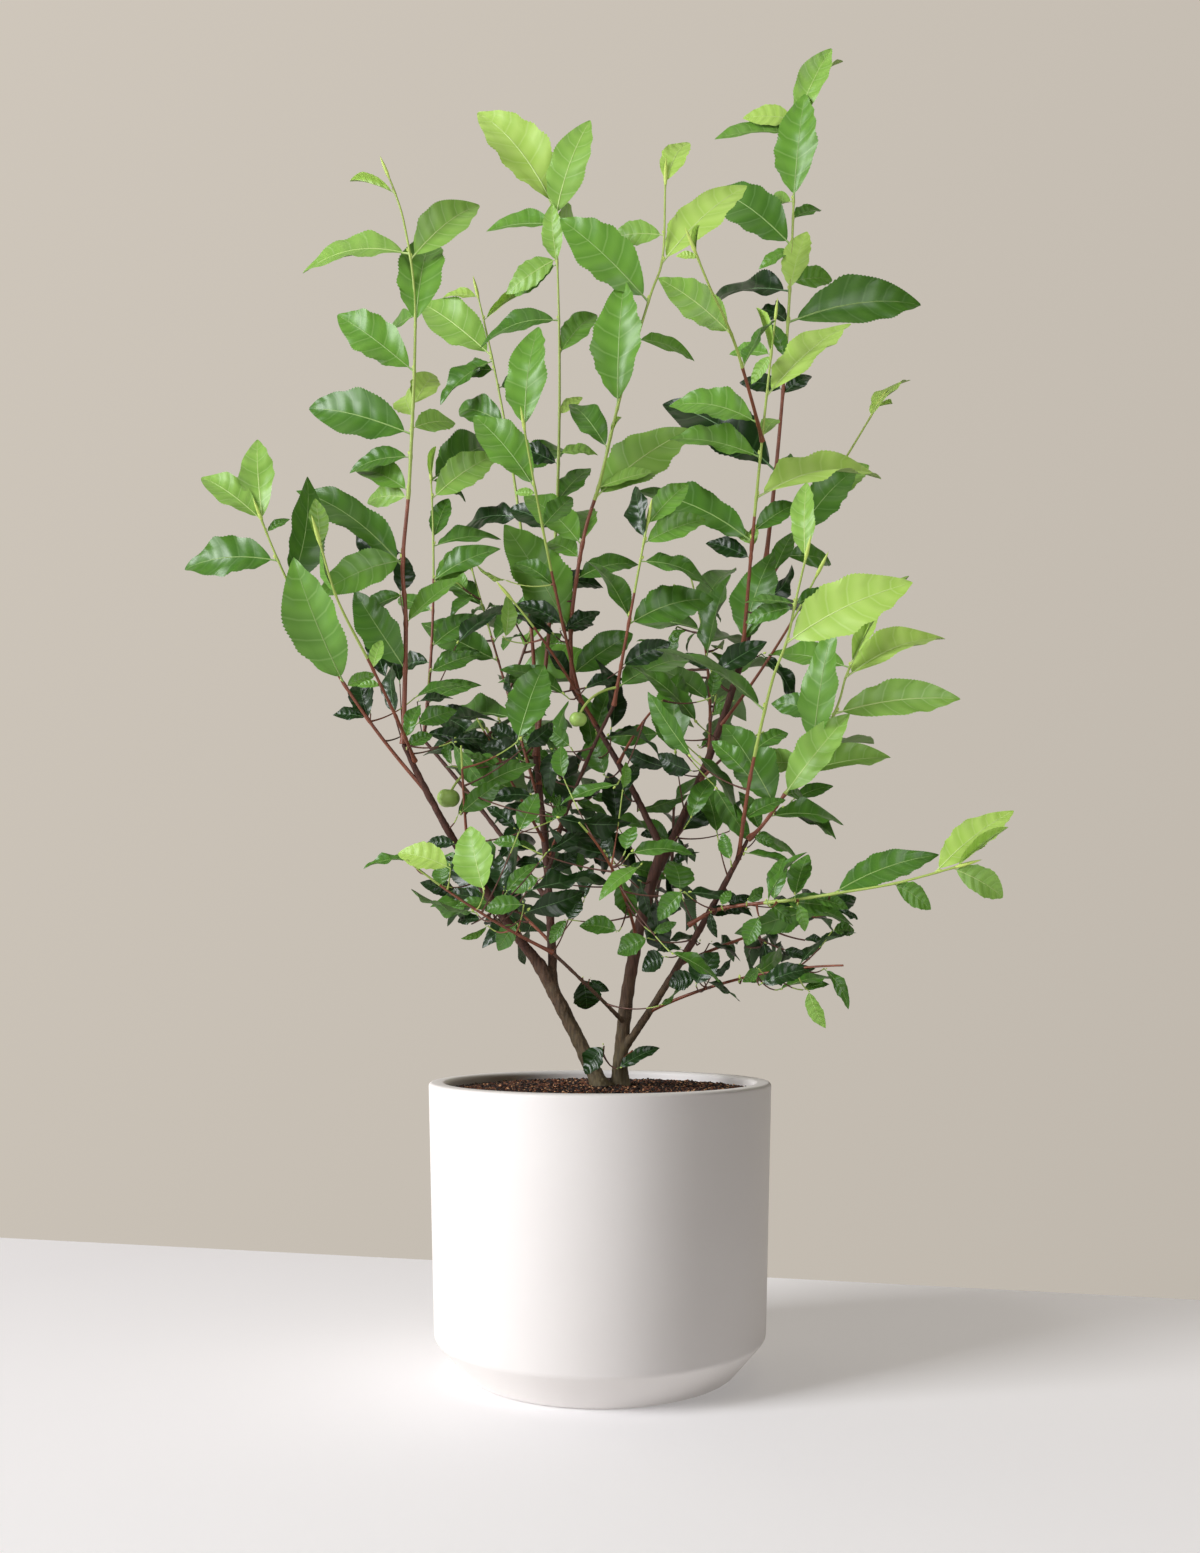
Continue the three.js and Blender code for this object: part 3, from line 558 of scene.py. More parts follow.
# %% Shoots
ROW = ("on", "tip", "bow", "fresh", "leaves", "lead", "twigs", "droop", "bare")
SHOOTS = {                                 # in the order of ROW
    "shoot_tallest": (("bough_right", 1), (151, 30, 962), (5, 0, 0), 0.60),
    "shoot_left_tall": (("bough_left", 1), (-157, -40, 866), (9, -4, 0), 0.58),
    "shoot_top_centre": (("bough_back", 1), (-36, 60, 905), (10, 6, 0), 0.66),
    "shoot_centre": (("bough_centre", 1), (48, -20, 874), (-12, 0, 0), 0.62),
    "shoot_back_top": (("bough_back", 0.86), (-105, 150, 880), (10, 18, 10), 0.56),
    "shoot_far_left": (("bough_left", 0.8), (-236, -70, 611), (-9, 0, -6), 0.50),
    "shoot_side_outer": (("stem_side", 1), (166, -60, 506), (-6, 0, -3), 0.70),
    "shoot_right_low": (("stem_side", 0.62), (234, -100, 362), (0, -4, -10), 0.66),
    "shoot_right_back": (("bough_right", 0.9), (224, 80, 755), (-4, 6, -8), 0.66),
    "shoot_centre_left": (("bough_centre", 0.92), (-53, -60, 677), (-2, -4, 0), 0.52),
    "shoot_right_inner": (("bough_right", 0.72), (122, -70, 750), (-2, -10, 0), 0.58),
    "shoot_right_front": (("bough_right", 0.58), (62, -130, 765), (14, -12, 0), 0.58),
    "shoot_left_inner": (("bough_left", 0.92), (-184, -110, 607), (-4, -6, 0), 0.48),
    "shoot_left_side": (("bough_inner", 1), (-142, 120, 711), (4, 6, 0), 0.42),
    "shoot_side_upright": (("stem_side", 0.9), (129, -120, 520), (-5, -8, 0), 0.62),
    "shoot_crossing": (("bough_crossing", 1), (32, -90, 600), (0, -6, 0), 0.42),
    "shoot_back_right": (("bough_right", 0.4), (78, 150, 640), (8, 14, 0), 0.34,
                         (11, 70), 180, (1, 60, 3)),
    "shoot_back_left": (("bough_back", 0.74), (-112, 170, 650), (0, 14, 0), 0.34,
                        (11, 70), 0, (1, 60, 3)),
    "spray_inner_left": (("bough_back", 0.6), (-92, -4, 486), (0, -6, 0), 0.20,
                         (9, 60), 60, (3, 44, 4), 0.24),
    "spray_centre_mid": (("bough_centre", 0.52), (44, -66, 486), (0, -6, 4), 0.24,
                         (9, 62), 120, (3, 46, 4), 0.2),
    "spray_right_mid": (("bough_right", 0.32), (120, -24, 472), (0, -4, 4), 0.24,
                        (9, 62), 160, (3, 44, 4), 0.2),
    "spray_left_mid": (("bough_left", 0.48), (-96, -78, 452), (0, -6, 2), 0.28,
                       (8, 58), 140, (2, 44, 4), 0.22),
    "spray_right_upper": (("bough_right", 0.5), (152, -62, 574), (4, -6, 0), 0.36,
                          (9, 62), 150, (2, 46, 4), 0.18),
    "spray_upper_centre": (("bough_centre", 0.76), (-64, -34, 566), (0, -6, 4), 0.32,
                           (9, 62), 30, (2, 46, 4), 0.18),
    "spray_back_mid": (("bough_back", 0.5), (-16, 128, 480), (0, 8, 0), 0.18,
                       (9, 60), 170, (2, 44, 4), 0.2),
    "spray_centre_front": (("stem_right", 0.62), (-14, -110, 395), (4, -8, 6), 0.20,
                           (9, 58), 30, (3, 46, 4), 0.24),
    "spray_centre_back": (("stem_right", 0.78), (70, 120, 400), (0, 10, 4), 0.14,
                          (9, 58), 200, (2, 46, 4), 0.26),
    "spray_left_back": (("bough_back", 0.18), (-120, 132, 388), (0, 8, 4), 0.14,
                        (9, 56), 0, (2, 46, 4), 0.16),
    "spray_right_front": (("stem_side", 0.22), (165, -95, 300), (0, -5, 8), 0.12,
                          (9, 46), 120, (1, 34, 3), 0.24),
    "spray_right_back": (("stem_side", 0.45), (190, 62, 345), (0, 8, 4), 0.12,
                         (9, 48), 180, (1, 40, 3), 0.22),
    "spray_low_left": (("branch_low", 1), (-132, -90, 372), (0, -6, -4), 0.30,
                       (10, 54), 0, (2, 44, 4), 0.14, 0.15),
    "sucker_left": (("stem_left", 0.2), (2, -16, 236), (0, 0, 0), 0.10),
    "sucker_right": (("stem_right", 0.1), (24, -12, 238), (0, 0, 0), 0.10),
}
SHOOT = dict(leaves=(0, 0), lead=0, twigs=(0, 0, 0), droop=0.08, bare=0.2)       # where a row says nothing
TENDER = 0.42                              # size of the newest leaf
WANDER = 0.5                               # how much a leaf may stray from the golden angle, in radians
GOLDEN = math.radians(137.5)
LIGHT = np.array([-0.30, -0.84, 0.45])     # where the leaves get their light from
TO_LIGHT = 0.8                             # how far a blade turns from its stem to the light
DEPTH = 0.72                               # the crown is a little shallower than it is wide
STALK = 0.07                               # of a leaf's length
BLADE = dict(size=(0.9, 1.12), width=(0.4, 0.49),          # of its leaf's size, and of its own length
             arch=(0.15, 0.8), fold=(0.12, 0.42), roll=(-0.55, 0.55))         # radians
LOWEST = 0.84                              # size of a shoot's lowest leaf
CROWDING = 0.92                            # under 1, leaves stand closer together at the tip
SPREAD = dict(main=(20, 32, 7), twig=(30, 20, 3), scatter=14)   # degrees at the top, opening, over leaves
TWIG = dict(first=75, next=150, last=0.9, lean=(0.62, 0.78), length=(0.85, 1.15), sag=1.2, bare=0.3,
            sizes=(0.55, 0.78, 0.92))      # two angles in degrees, the sag in mm, and shares
STEM = dict(tip=1.1, foot=1.1, gain=0.0017, twig=(1.2, 1.1), stub=1.5)   # radii in mm


def draws(seed):
    """Repeatable draws between 0 and 1, from a counter that is stirred well."""
    full = 0xFFFFFFFF
    step = 0x6D2B79F5
    state = (seed + step) & full

    def draw():
        nonlocal state
        state = (state + step) & full
        t = (state ^ state >> 15) * (state | 1) & full
        t ^= t + (t ^ t >> 7) * (t | 61) & full
        return ((t ^ t >> 14) & full) / 2 ** 32
    return draw


def square_to(a, axis):
    return unit(a - axis * a.dot(axis))


def outward(axis, angle):
    """The direction at an angle round an axis: 0 to the left of an upright one, 90 degrees to the front."""
    a = square_to(np.cross(axis, (0, 1, 0)), axis)
    return a * math.cos(angle) + np.cross(axis, a) * math.sin(angle)


# %% [markdown]
# A leaf is kept as a handful of numbers: where it is rooted, its stem's direction, how it leans, and the
# size, arch and fold of its blade. Its pose gives three directions: the way the midrib runs, the way the
# blade faces, and its side.

# %% A shoot's leaves
def leaf(stem, at, azimuth, spread, size, droop, draw, **more):
    """A leaf's draws and its place on a stem, before it is turned."""
    roll = lerp(*BLADE["roll"], draw())
    length = size * lerp(*BLADE["size"], draw())
    width = length * lerp(*BLADE["width"], draw())
    arch = lerp(*BLADE["arch"], draw()) * (1 + droop)
    fold = lerp(*BLADE["fold"], draw())
    return SimpleNamespace(root=stem.path.point(at), axis=stem.path.way(at), owner=stem.owner, at=at,
                           azimuth=azimuth, spread=spread, droop=droop, roll=roll, length=length, width=width,
                           arch=arch, fold=fold, stem=stem, by_hand=False, **more)


def pose(one, degrees):
    """Sets a leaf's way, face and side once its azimuth is turned by some degrees."""
    out = outward(one.axis, one.azimuth + math.radians(degrees)) * (1, DEPTH, 1)
    way = unit(one.axis * math.cos(one.spread) + unit(out) * math.sin(one.spread))
    way = unit(way - (0, 0, one.droop))
    face = square_to(lerp(one.axis, LIGHT, TO_LIGHT), way)
    one.way = way
    one.face = face * math.cos(one.roll) + np.cross(way, face) * math.sin(one.roll)
    one.side = np.cross(one.face, way)


def leaning(spec, young, draw):
    """How far a leaf leans out from its stem: older leaves more."""
    top, opening, leaves = spec
    return math.radians(top + opening * min(1, young / leaves) + SPREAD["scatter"] * (draw() - 0.5))


def side_twig(bearer, at, azimuth, length, leaves, size, droop, fresh, draw, name):
    """A twig that leans out from its stem, with a few leaves of its own."""
    foot = bearer.path.point(at)
    axis = bearer.path.way(at)
    way = unit(axis * TWIG["lean"][0] + outward(axis, azimuth) * TWIG["lean"][1])
    path = Path(foot, foot + way * length * lerp(*TWIG["length"], draw()), (0, 0, -TWIG["sag"]))
    twig = SimpleNamespace(owner=name, path=path, girth=STEM["twig"], bearer=bearer, fresh=fresh)
    grown = []
    for i in range(leaves):
        share = i / (leaves - 1)
        young = leaves - 1 - i
        place = lerp(TWIG["bare"], 1, share) * (1 - STEM["stub"] / length)
        scale = TWIG["sizes"][min(young, 2)]
        lean = leaning(SPREAD["twig"], young, draw)
        grown.append(leaf(twig, place, azimuth + i * GOLDEN, lean, size * scale, droop, draw,
                          young=young, fresh=fresh))
    return twig, grown


def shoot(name, row, seed):
    """A shoot's stems and leaves, before crossing ones are turned or dropped."""
    s = SimpleNamespace(**{**SHOOT, **dict(zip(ROW, row))})
    draw = draws(seed)
    path = Path(paths[s.on[0]].point(s.on[1]), s.tip, s.bow)
    girth = (STEM["foot"] + STEM["gain"] * path.length, STEM["tip"])
    main = SimpleNamespace(owner=name, path=path, girth=girth, bearer=None, fresh=s.fresh)
    count, size = s.leaves
    first = math.radians(s.lead) - (count - 1) * GOLDEN
    leaves = []
    for i in range(count):
        share = i / (count - 1)
        young = count - 1 - i
        at = lerp(s.bare, 1, share ** CROWDING) * (1 - STEM["stub"] / path.length)
        scale = lerp(TENDER, 1, min(1, young / 3)) * lerp(LOWEST, 1, min(1, 3 * share))
        spread = leaning(SPREAD["main"], young, draw)
        azimuth = first + i * GOLDEN + WANDER * (draw() - 0.5)
        leaves.append(leaf(main, at, azimuth, spread, size * scale, s.droop * min(1, young / 3), draw,
                           young=young, fresh=s.fresh))
    twigs = []
    twig_count, twig_length, twig_leaves = s.twigs
    for j in range(twig_count):
        at = s.bare + (TWIG["last"] - s.bare) * (j + 0.4) / twig_count
        azimuth = first + math.radians(TWIG["first"] + TWIG["next"] * j)
        twigs.append(side_twig(main, at, azimuth, twig_length, twig_leaves, size, s.droop, s.fresh, draw,
                               f"{name} {j}"))
    return SimpleNamespace(name=name, row=s, main=main, leaves=leaves, twigs=twigs)


shoots = [shoot(name, row, seed) for seed, (name, row) in enumerate(SHOOTS.items(), 1)]
print(len(shoots), "shoots")

# %% [markdown]
# ## Leaves set one by one
# The long shoots in front are what one looks at, so their leaves are set one by one; the rule grows what is
# behind them. A row of numbers says where on its shoot a leaf sits, which way it points as on a clock face
# seen from the front (0 up, 90 right, in degrees), its length in mm and how fresh it is, which is partly
# painted light: a leaf that should look more lit gets a fresher, paler green; then, where they differ from 0,
# how far it is rolled from the viewer to the light (or away from it, if under 0) and how far its tip leans
# to the viewer, both in degrees, and the blade's width as a share of its length. Some stems are redrawn as a
# smooth vine through a few points.

# %% Listed leaves
VINES = {                                  # points of a stem in mm, from its foot to its tip
    "shoot_left_tall": [
        (-143, -30, 462), (-140, -38, 546), (-142, -40, 590), (-137, -42, 647), (-133, -42, 740),
        (-134, -40, 790), (-141, -40, 835), (-148, -40, 858), (-152, -40, 868)],
    "shoot_left_inner": [
        (-135, -27, 450), (-142, -62, 472), (-155, -97, 503), (-172, -124, 539), (-180, -140, 570)],
    "shoot_centre": [
        (-21, 35, 516), (-22, 20, 564), (-12, 5, 625), (0, -5, 662), (15, -15, 721), (36, -20, 790),
        (46, -20, 821), (48, -20, 875)],
    "shoot_right_front": [
        (116, -46, 676), (106, -75, 689), (92, -105, 712), (81, -128, 723), (71, -142, 734), (61, -152, 751)],
    "shoot_side_upright": [
        (98, -54, 376), (101, -79, 414), (104, -96, 439), (109, -112, 467), (114, -126, 490),
        (121, -137, 510), (125, -146, 532), (130, -154, 556)],
    "shoot_side_outer": [
        (104, -60, 389), (115, -62, 400), (132, -65, 424), (147, -65, 445), (161, -65, 470), (168, -65, 487),
        (172, -65, 502), (178, -65, 516)],
    "shoot_right_low": [
        (64, -42, 330), (80, -56, 339), (95, -67, 342), (133, -90, 345), (164, -107, 349), (191, -120, 353),
        (212, -130, 358), (230, -136, 363)],
}
# fresh is partly painted light: a leaf that should look more lit gets a fresher, paler green
SET = {                                    # at, clock, length, fresh, roll, toward, width
    "shoot_left_tall": [
        (.97, -63, 37, .95, 20, 0, .17), (.86, -76, 76, .7, 60), (.85, 40, 68, .72), (.73, 5, 78, .58, 10),
        (.75, -80, 54, .44, 55, -20), (.65, -50, 72, .43), (.57, -22, 46, .82, 0, -30),
        (.59, 20, 46, .82, 0, -25), (.54, -68, 80, .38, 15), (.55, 52, 42, .62, 0, -30),
        (.50, -88, 44, .4, 50), (.44, -50, 50, .45, 10), (.43, -74, 42, .6, 0, -25),
        (.31, -42, 90, .36, 25, 10, .34), (.33, -63, 54, .15, -20, -25), (.32, -112, 62, .46, 10, 10),
        (.26, -97, 44, .34, 40, -20), (.21, 42, 50, .5, 55, 0), (.13, -33, 62, .42, 0, 15, .48)],
    "shoot_far_left": [
        (1, -47, 55, .6, 0, 5), (.99, -6, 62, .62, 0, 0, .4), (.87, -80, 70, .4, 20), (.96, 47, 18, .4, 50),
        (.78, 23, 72, .4, -25), (.44, -23, 84, .48, 0, 20, .5), (.43, 58, 22, .45),
        (.30, -18, 34, .12, 10, 5, .55), (.31, -72, 24, .14)],
    "shoot_left_inner": [
        (1, -3, 30, .72, -20), (.82, -25, 34, .5, 75), (.5, 10, 22, .6), (.42, -75, 16, .5, 40),
        (.27, -12, 38, .1, 40), (.14, 18, 28, .3, 20)],
    "shoot_left_side": [
        (1, 5, 30, .85, 20, 0, .2), (1, 42, 84, .38), (1, 92, 34, .3, 50), (.93, 47, 66, .66, 0, -10),
        (.78, 14, 40, .34, 20, -10), (.75, 68, 54, .34, 55), (.6, 43, 50, .5), (.62, 60, 58, .3, 50, 10),
        (.36, 45, 48, .4), (.27, 63, 42, .3, 10), (.14, 52, 44, .28, 40), (.06, 60, 38, .18),
        (.1, 100, 50, .18, 50), (.5, -60, 44, .3, 20, -20), (.3, -75, 40, .2, 0, -25)],
    "shoot_back_top": [
        (.95, 50, 48, .92, 20, 0, .16), (1, -74, 32, .8, 50), (.87, -47, 86, .68), (.86, -112, 54, .34, 65),
        (.84, -75, 40, .25, 10, -15), (.8, 60, 50, .3, 20, -25), (.72, -50, 60, .3, 10, -20),
        (.62, 50, 60, .25, 10, -10), (.52, -70, 55, .2, 20, -20), (.4, 65, 50, .2, 0, -20)],
    "shoot_top_centre": [
        (1, -28, 98, .84, 0, 5), (.99, -17, 74, .9, 30, -10, .14), (.98, 14, 72, .76, 10),
        (.98, 45, 58, .72, 0, -25), (.97, -72, 60, .5, 55, -20), (.9, -12, 42, .72, 0, 10),
        (.9, -100, 46, .46, 20), (.91, -112, 46, .62, 0, -10), (.8, -84, 62, .38, 50), (.74, 32, 50, .48),
        (.63, 40, 24, .85, 20), (.56, 76, 30, .62, 50), (.54, -60, 38, .15, 10), (.47, 30, 46, .25, 10, -15),
        (.42, -50, 48, .2, 20, -15), (.32, 70, 44, .2, 10, -20)],
    "shoot_centre": [
        (1, 15, 44, .92, 0, 0, .46), (.845, 38, 86, .95, 45), (.9, -82, 40, .66, 20),
        (.765, -44, 84, .56, 0, 10), (.555, 0, 84, .52, 0, 15, .47), (.69, 84, 48, .58, 60, -20),
        (.475, -31, 52, .28), (.5, 20, 18, .95, 20, 0, .2), (.38, 45, 86, .6), (.4, 72, 40, .76, 55),
        (.285, -37, 62, .46, 10), (.29, 5, 48, .48, 0, -15), (.26, -42, 44, .56, 0, -25),
        (.115, -30, 88, .48, 0, 15, .5), (.22, 60, 48, .38, 35), (.03, 50, 58, .4)],
    "shoot_centre_left": [
        (1, 0, 74, .48, 0, 5), (.8, -32, 70, .46), (.78, -80, 15, .6), (.66, 35, 40, .4, 10, -20),
        (.44, -44, 36, .28, 40), (.3, -57, 36, .14), (.28, 55, 32, .14, 0, -10)],
    "shoot_tallest": [
        (1, 26, 60, .92, 50), (.97, 22, 54, .74, 0, 5), (.98, -78, 38, .84, 35), (.95, -82, 58, .44, 72),
        (.8, 2, 72, .47, 0, 15, .5), (.76, 45, 34, .42, 45, -25), (.8, -62, 52, .6, 60, -20),
        (.7, -44, 82, .4), (.69, -105, 26, .44, 45), (.6, 10, 46, .8, 0, 10, .5), (.62, 66, 42, .44, 20, -20),
        (.53, 71, 106, .42, 0, 5, .36), (.6, -66, 76, .2, 50), (.53, -35, 34, .12, 10),
        (.45, -22, 30, .4, 10, 10), (.38, -65, 32, .15, 20), (.37, 46, 30, .15, 10),
        (.2, -43, 108, .2, 0, -6, .36), (.2, 60, 48, .25, 10, -15)],
    "shoot_right_front": [
        (1, 0, 20, .95, 20, 0, .22), (.98, -70, 14, .85, 40), (.6, -52, 56, .76, 0, 20),
        (.42, 22, 40, .34, 60), (.12, -60, 62, .44, 40)],
    "shoot_right_inner": [
        (.9, -13, 36, .95, 20, 0, .18), (.9, -62, 34, .58, 45), (.9, -138, 22, .6), (.78, 40, 80, .88, 50),
        (.66, 25, 30, .68, 30), (.6, -66, 64, .54, 45), (.48, 58, 94, .84, 52),
        (.35, -54, 92, .42, 30, 5, .36), (.34, -40, 20, .7), (.33, 8, 18, .7), (.38, 50, 40, .38, 20),
        (.3, -62, 34, .14), (.04, 9, 66, .42, 0, 15, .52), (.05, 27, 36, .34, 0, -10)],
    "shoot_right_back": [
        (.95, 27, 48, .85, 50), (1, 65, 20, .95, 20, 0, .2), (.55, 48, 52, .68), (.35, 32, 70, .4, 20),
        (.15, 22, 36, .42), (.25, 80, 46, .3, 20, -15)],
    "shoot_side_upright": [
        (1, -3, 52, .66, 15, 0, .34), (.87, -76, 30, .38, 60), (.87, 62, 34, .3), (.86, -97, 30, .3, 10),
        (.75, 57, 80, .84, 0, 15, .46), (.53, -46, 78, .34, 70), (.4, 50, 30, .38, 20, -15),
        (.3, -40, 36, .3, 20), (.15, 55, 30, .25, 10)],
    "shoot_side_outer": [
        (1, 22, 38, .82, 10, 0, .3), (.95, 23, 70, .9, 30, -10, .13), (.9, 52, 78, .84, 45, -5),
        (.72, 74, 84, .64, 0, 5, .34), (.5, 2, 84, .5, 10, 20, .32), (.45, -80, 44, .62, 0, -20),
        (.27, 35, 66, .6), (.4, 72, 62, .6, 50), (.5, 58, 64, .48, 70, -10), (.2, -28, 66, .4, 0, 10, .5),
        (.95, -62, 64, .56, 50), (.7, -60, 46, .34, 0, -20), (.15, 80, 52, .34, 45),
        (.27, 70, 26, .28, 0, -15), (.03, 110, 18, .3), (.02, 97, 40, .3, 60)],
    "shoot_right_low": [
        (.93, 43, 66, .83, 0, 0, .36), (.58, 58, 70, .42, 0, 5, .32), (1, 50, 40, .97, 20, 0, .18),
        (.99, 112, 40, .76, 0, 0, .48), (.79, 115, 30, .5, 10, 0, .5), (.36, 8, 32, .36, 20),
        (.34, 125, 22, .4), (.4, 96, 34, .42, 20, 10), (.08, 70, 20, .2), (.18, 60, 18, .2, 20),
        (.5, 100, 26, .3, 40)],
    "shoot_crossing": [
        (1, 38, 42, .48), (.9, 62, 46, .46, 0, 5), (.92, -12, 40, .12), (.8, 90, 50, .38, 55),
        (.48, -23, 52, .36, 45), (.45, 58, 62, .38), (.1, 52, 74, .34, 35), (.22, 60, 38, .1, 10)],
}
HAND = dict(width=0.44, arch=(0.2, 0.6), fold=(0.14, 0.36), nudge=(0, 12, -12, 24, -24),
            to_light=20)                   # least roll, in degrees
ROLLED = dict(under=0.25, opened=2.4, fold=1.15, width=0.62)   # a newest leaf: its width and how it is folded


class Vine:
    """A smooth curve through some points, measured along its length."""

    def __init__(self, points):
        spots = np.array(points, float)
        spots = np.concatenate([[2 * spots[0] - spots[1]], spots, [2 * spots[-1] - spots[-2]]])
        line = []
        for a, b, c, d in zip(spots, spots[1:], spots[2:], spots[3:]):
            for t in np.linspace(0, 1, 12, endpoint=False):
                line.append(0.5 * (2 * b + (c - a) * t + (2 * a - 5 * b + 4 * c - d) * t ** 2
                                   + (3 * b - a - 3 * c + d) * t ** 3))
        self.line = np.array(line + [spots[-2]])
        self.run = np.concatenate([[0], np.linalg.norm(np.diff(self.line, axis=0), axis=1).cumsum()])
        self.length = self.run[-1]

    def point(self, t):
        return np.array([np.interp(t * self.length, self.run, axis) for axis in self.line.T])

    def way(self, t):
        return unit(self.point(min(1, t + 0.02)) - self.point(max(0, t - 0.02)))


def hand_pose(one, nudge):
    """Sets way, face and side of a listed leaf, with its tip nudged to the viewer by some degrees."""
    toward = math.radians(one.toward + nudge)
    clock = math.radians(one.clock)
    one.way = np.array([math.sin(clock) * math.cos(toward), -math.sin(toward),
                        math.cos(clock) * math.cos(toward)])
    face = square_to(EYE - one.root, one.way)
    beside = np.cross(one.way, face)
    if beside @ LIGHT < 0:
        beside = -beside
    roll = math.radians(one.roll)
    one.face = face * math.cos(roll) + beside * math.sin(roll)
    one.side = np.cross(one.face, one.way)


def hand_leaf(stem, draw, at, clock, length, fresh, roll=0, toward=0, width=HAND["width"]):
    """A leaf with a given place and direction; only its arch and fold are drawn."""
    rolled = width < ROLLED["under"]
    roll = math.copysign(max(abs(roll), HAND["to_light"]), roll)
    return SimpleNamespace(
        root=stem.path.point(at), axis=stem.path.way(at), owner=stem.owner, stem=stem, at=at, clock=clock,
        length=length, width=length * width * (ROLLED["opened"] if rolled else 1), roll=roll,
        toward=toward, fresh=fresh, arch=lerp(*HAND["arch"], draw()),
        fold=ROLLED["fold"] if rolled else lerp(*HAND["fold"], draw()), by_hand=True)


draw = draws(500)
for each in shoots:
    if each.name in VINES:
        each.main.path = Vine(VINES[each.name])
    each.by_hand = [hand_leaf(each.main, draw, *row) for row in SET.get(each.name, ())]
print(sum(len(each.by_hand) for each in shoots), "leaves set by hand on", len(SET), "shoots")
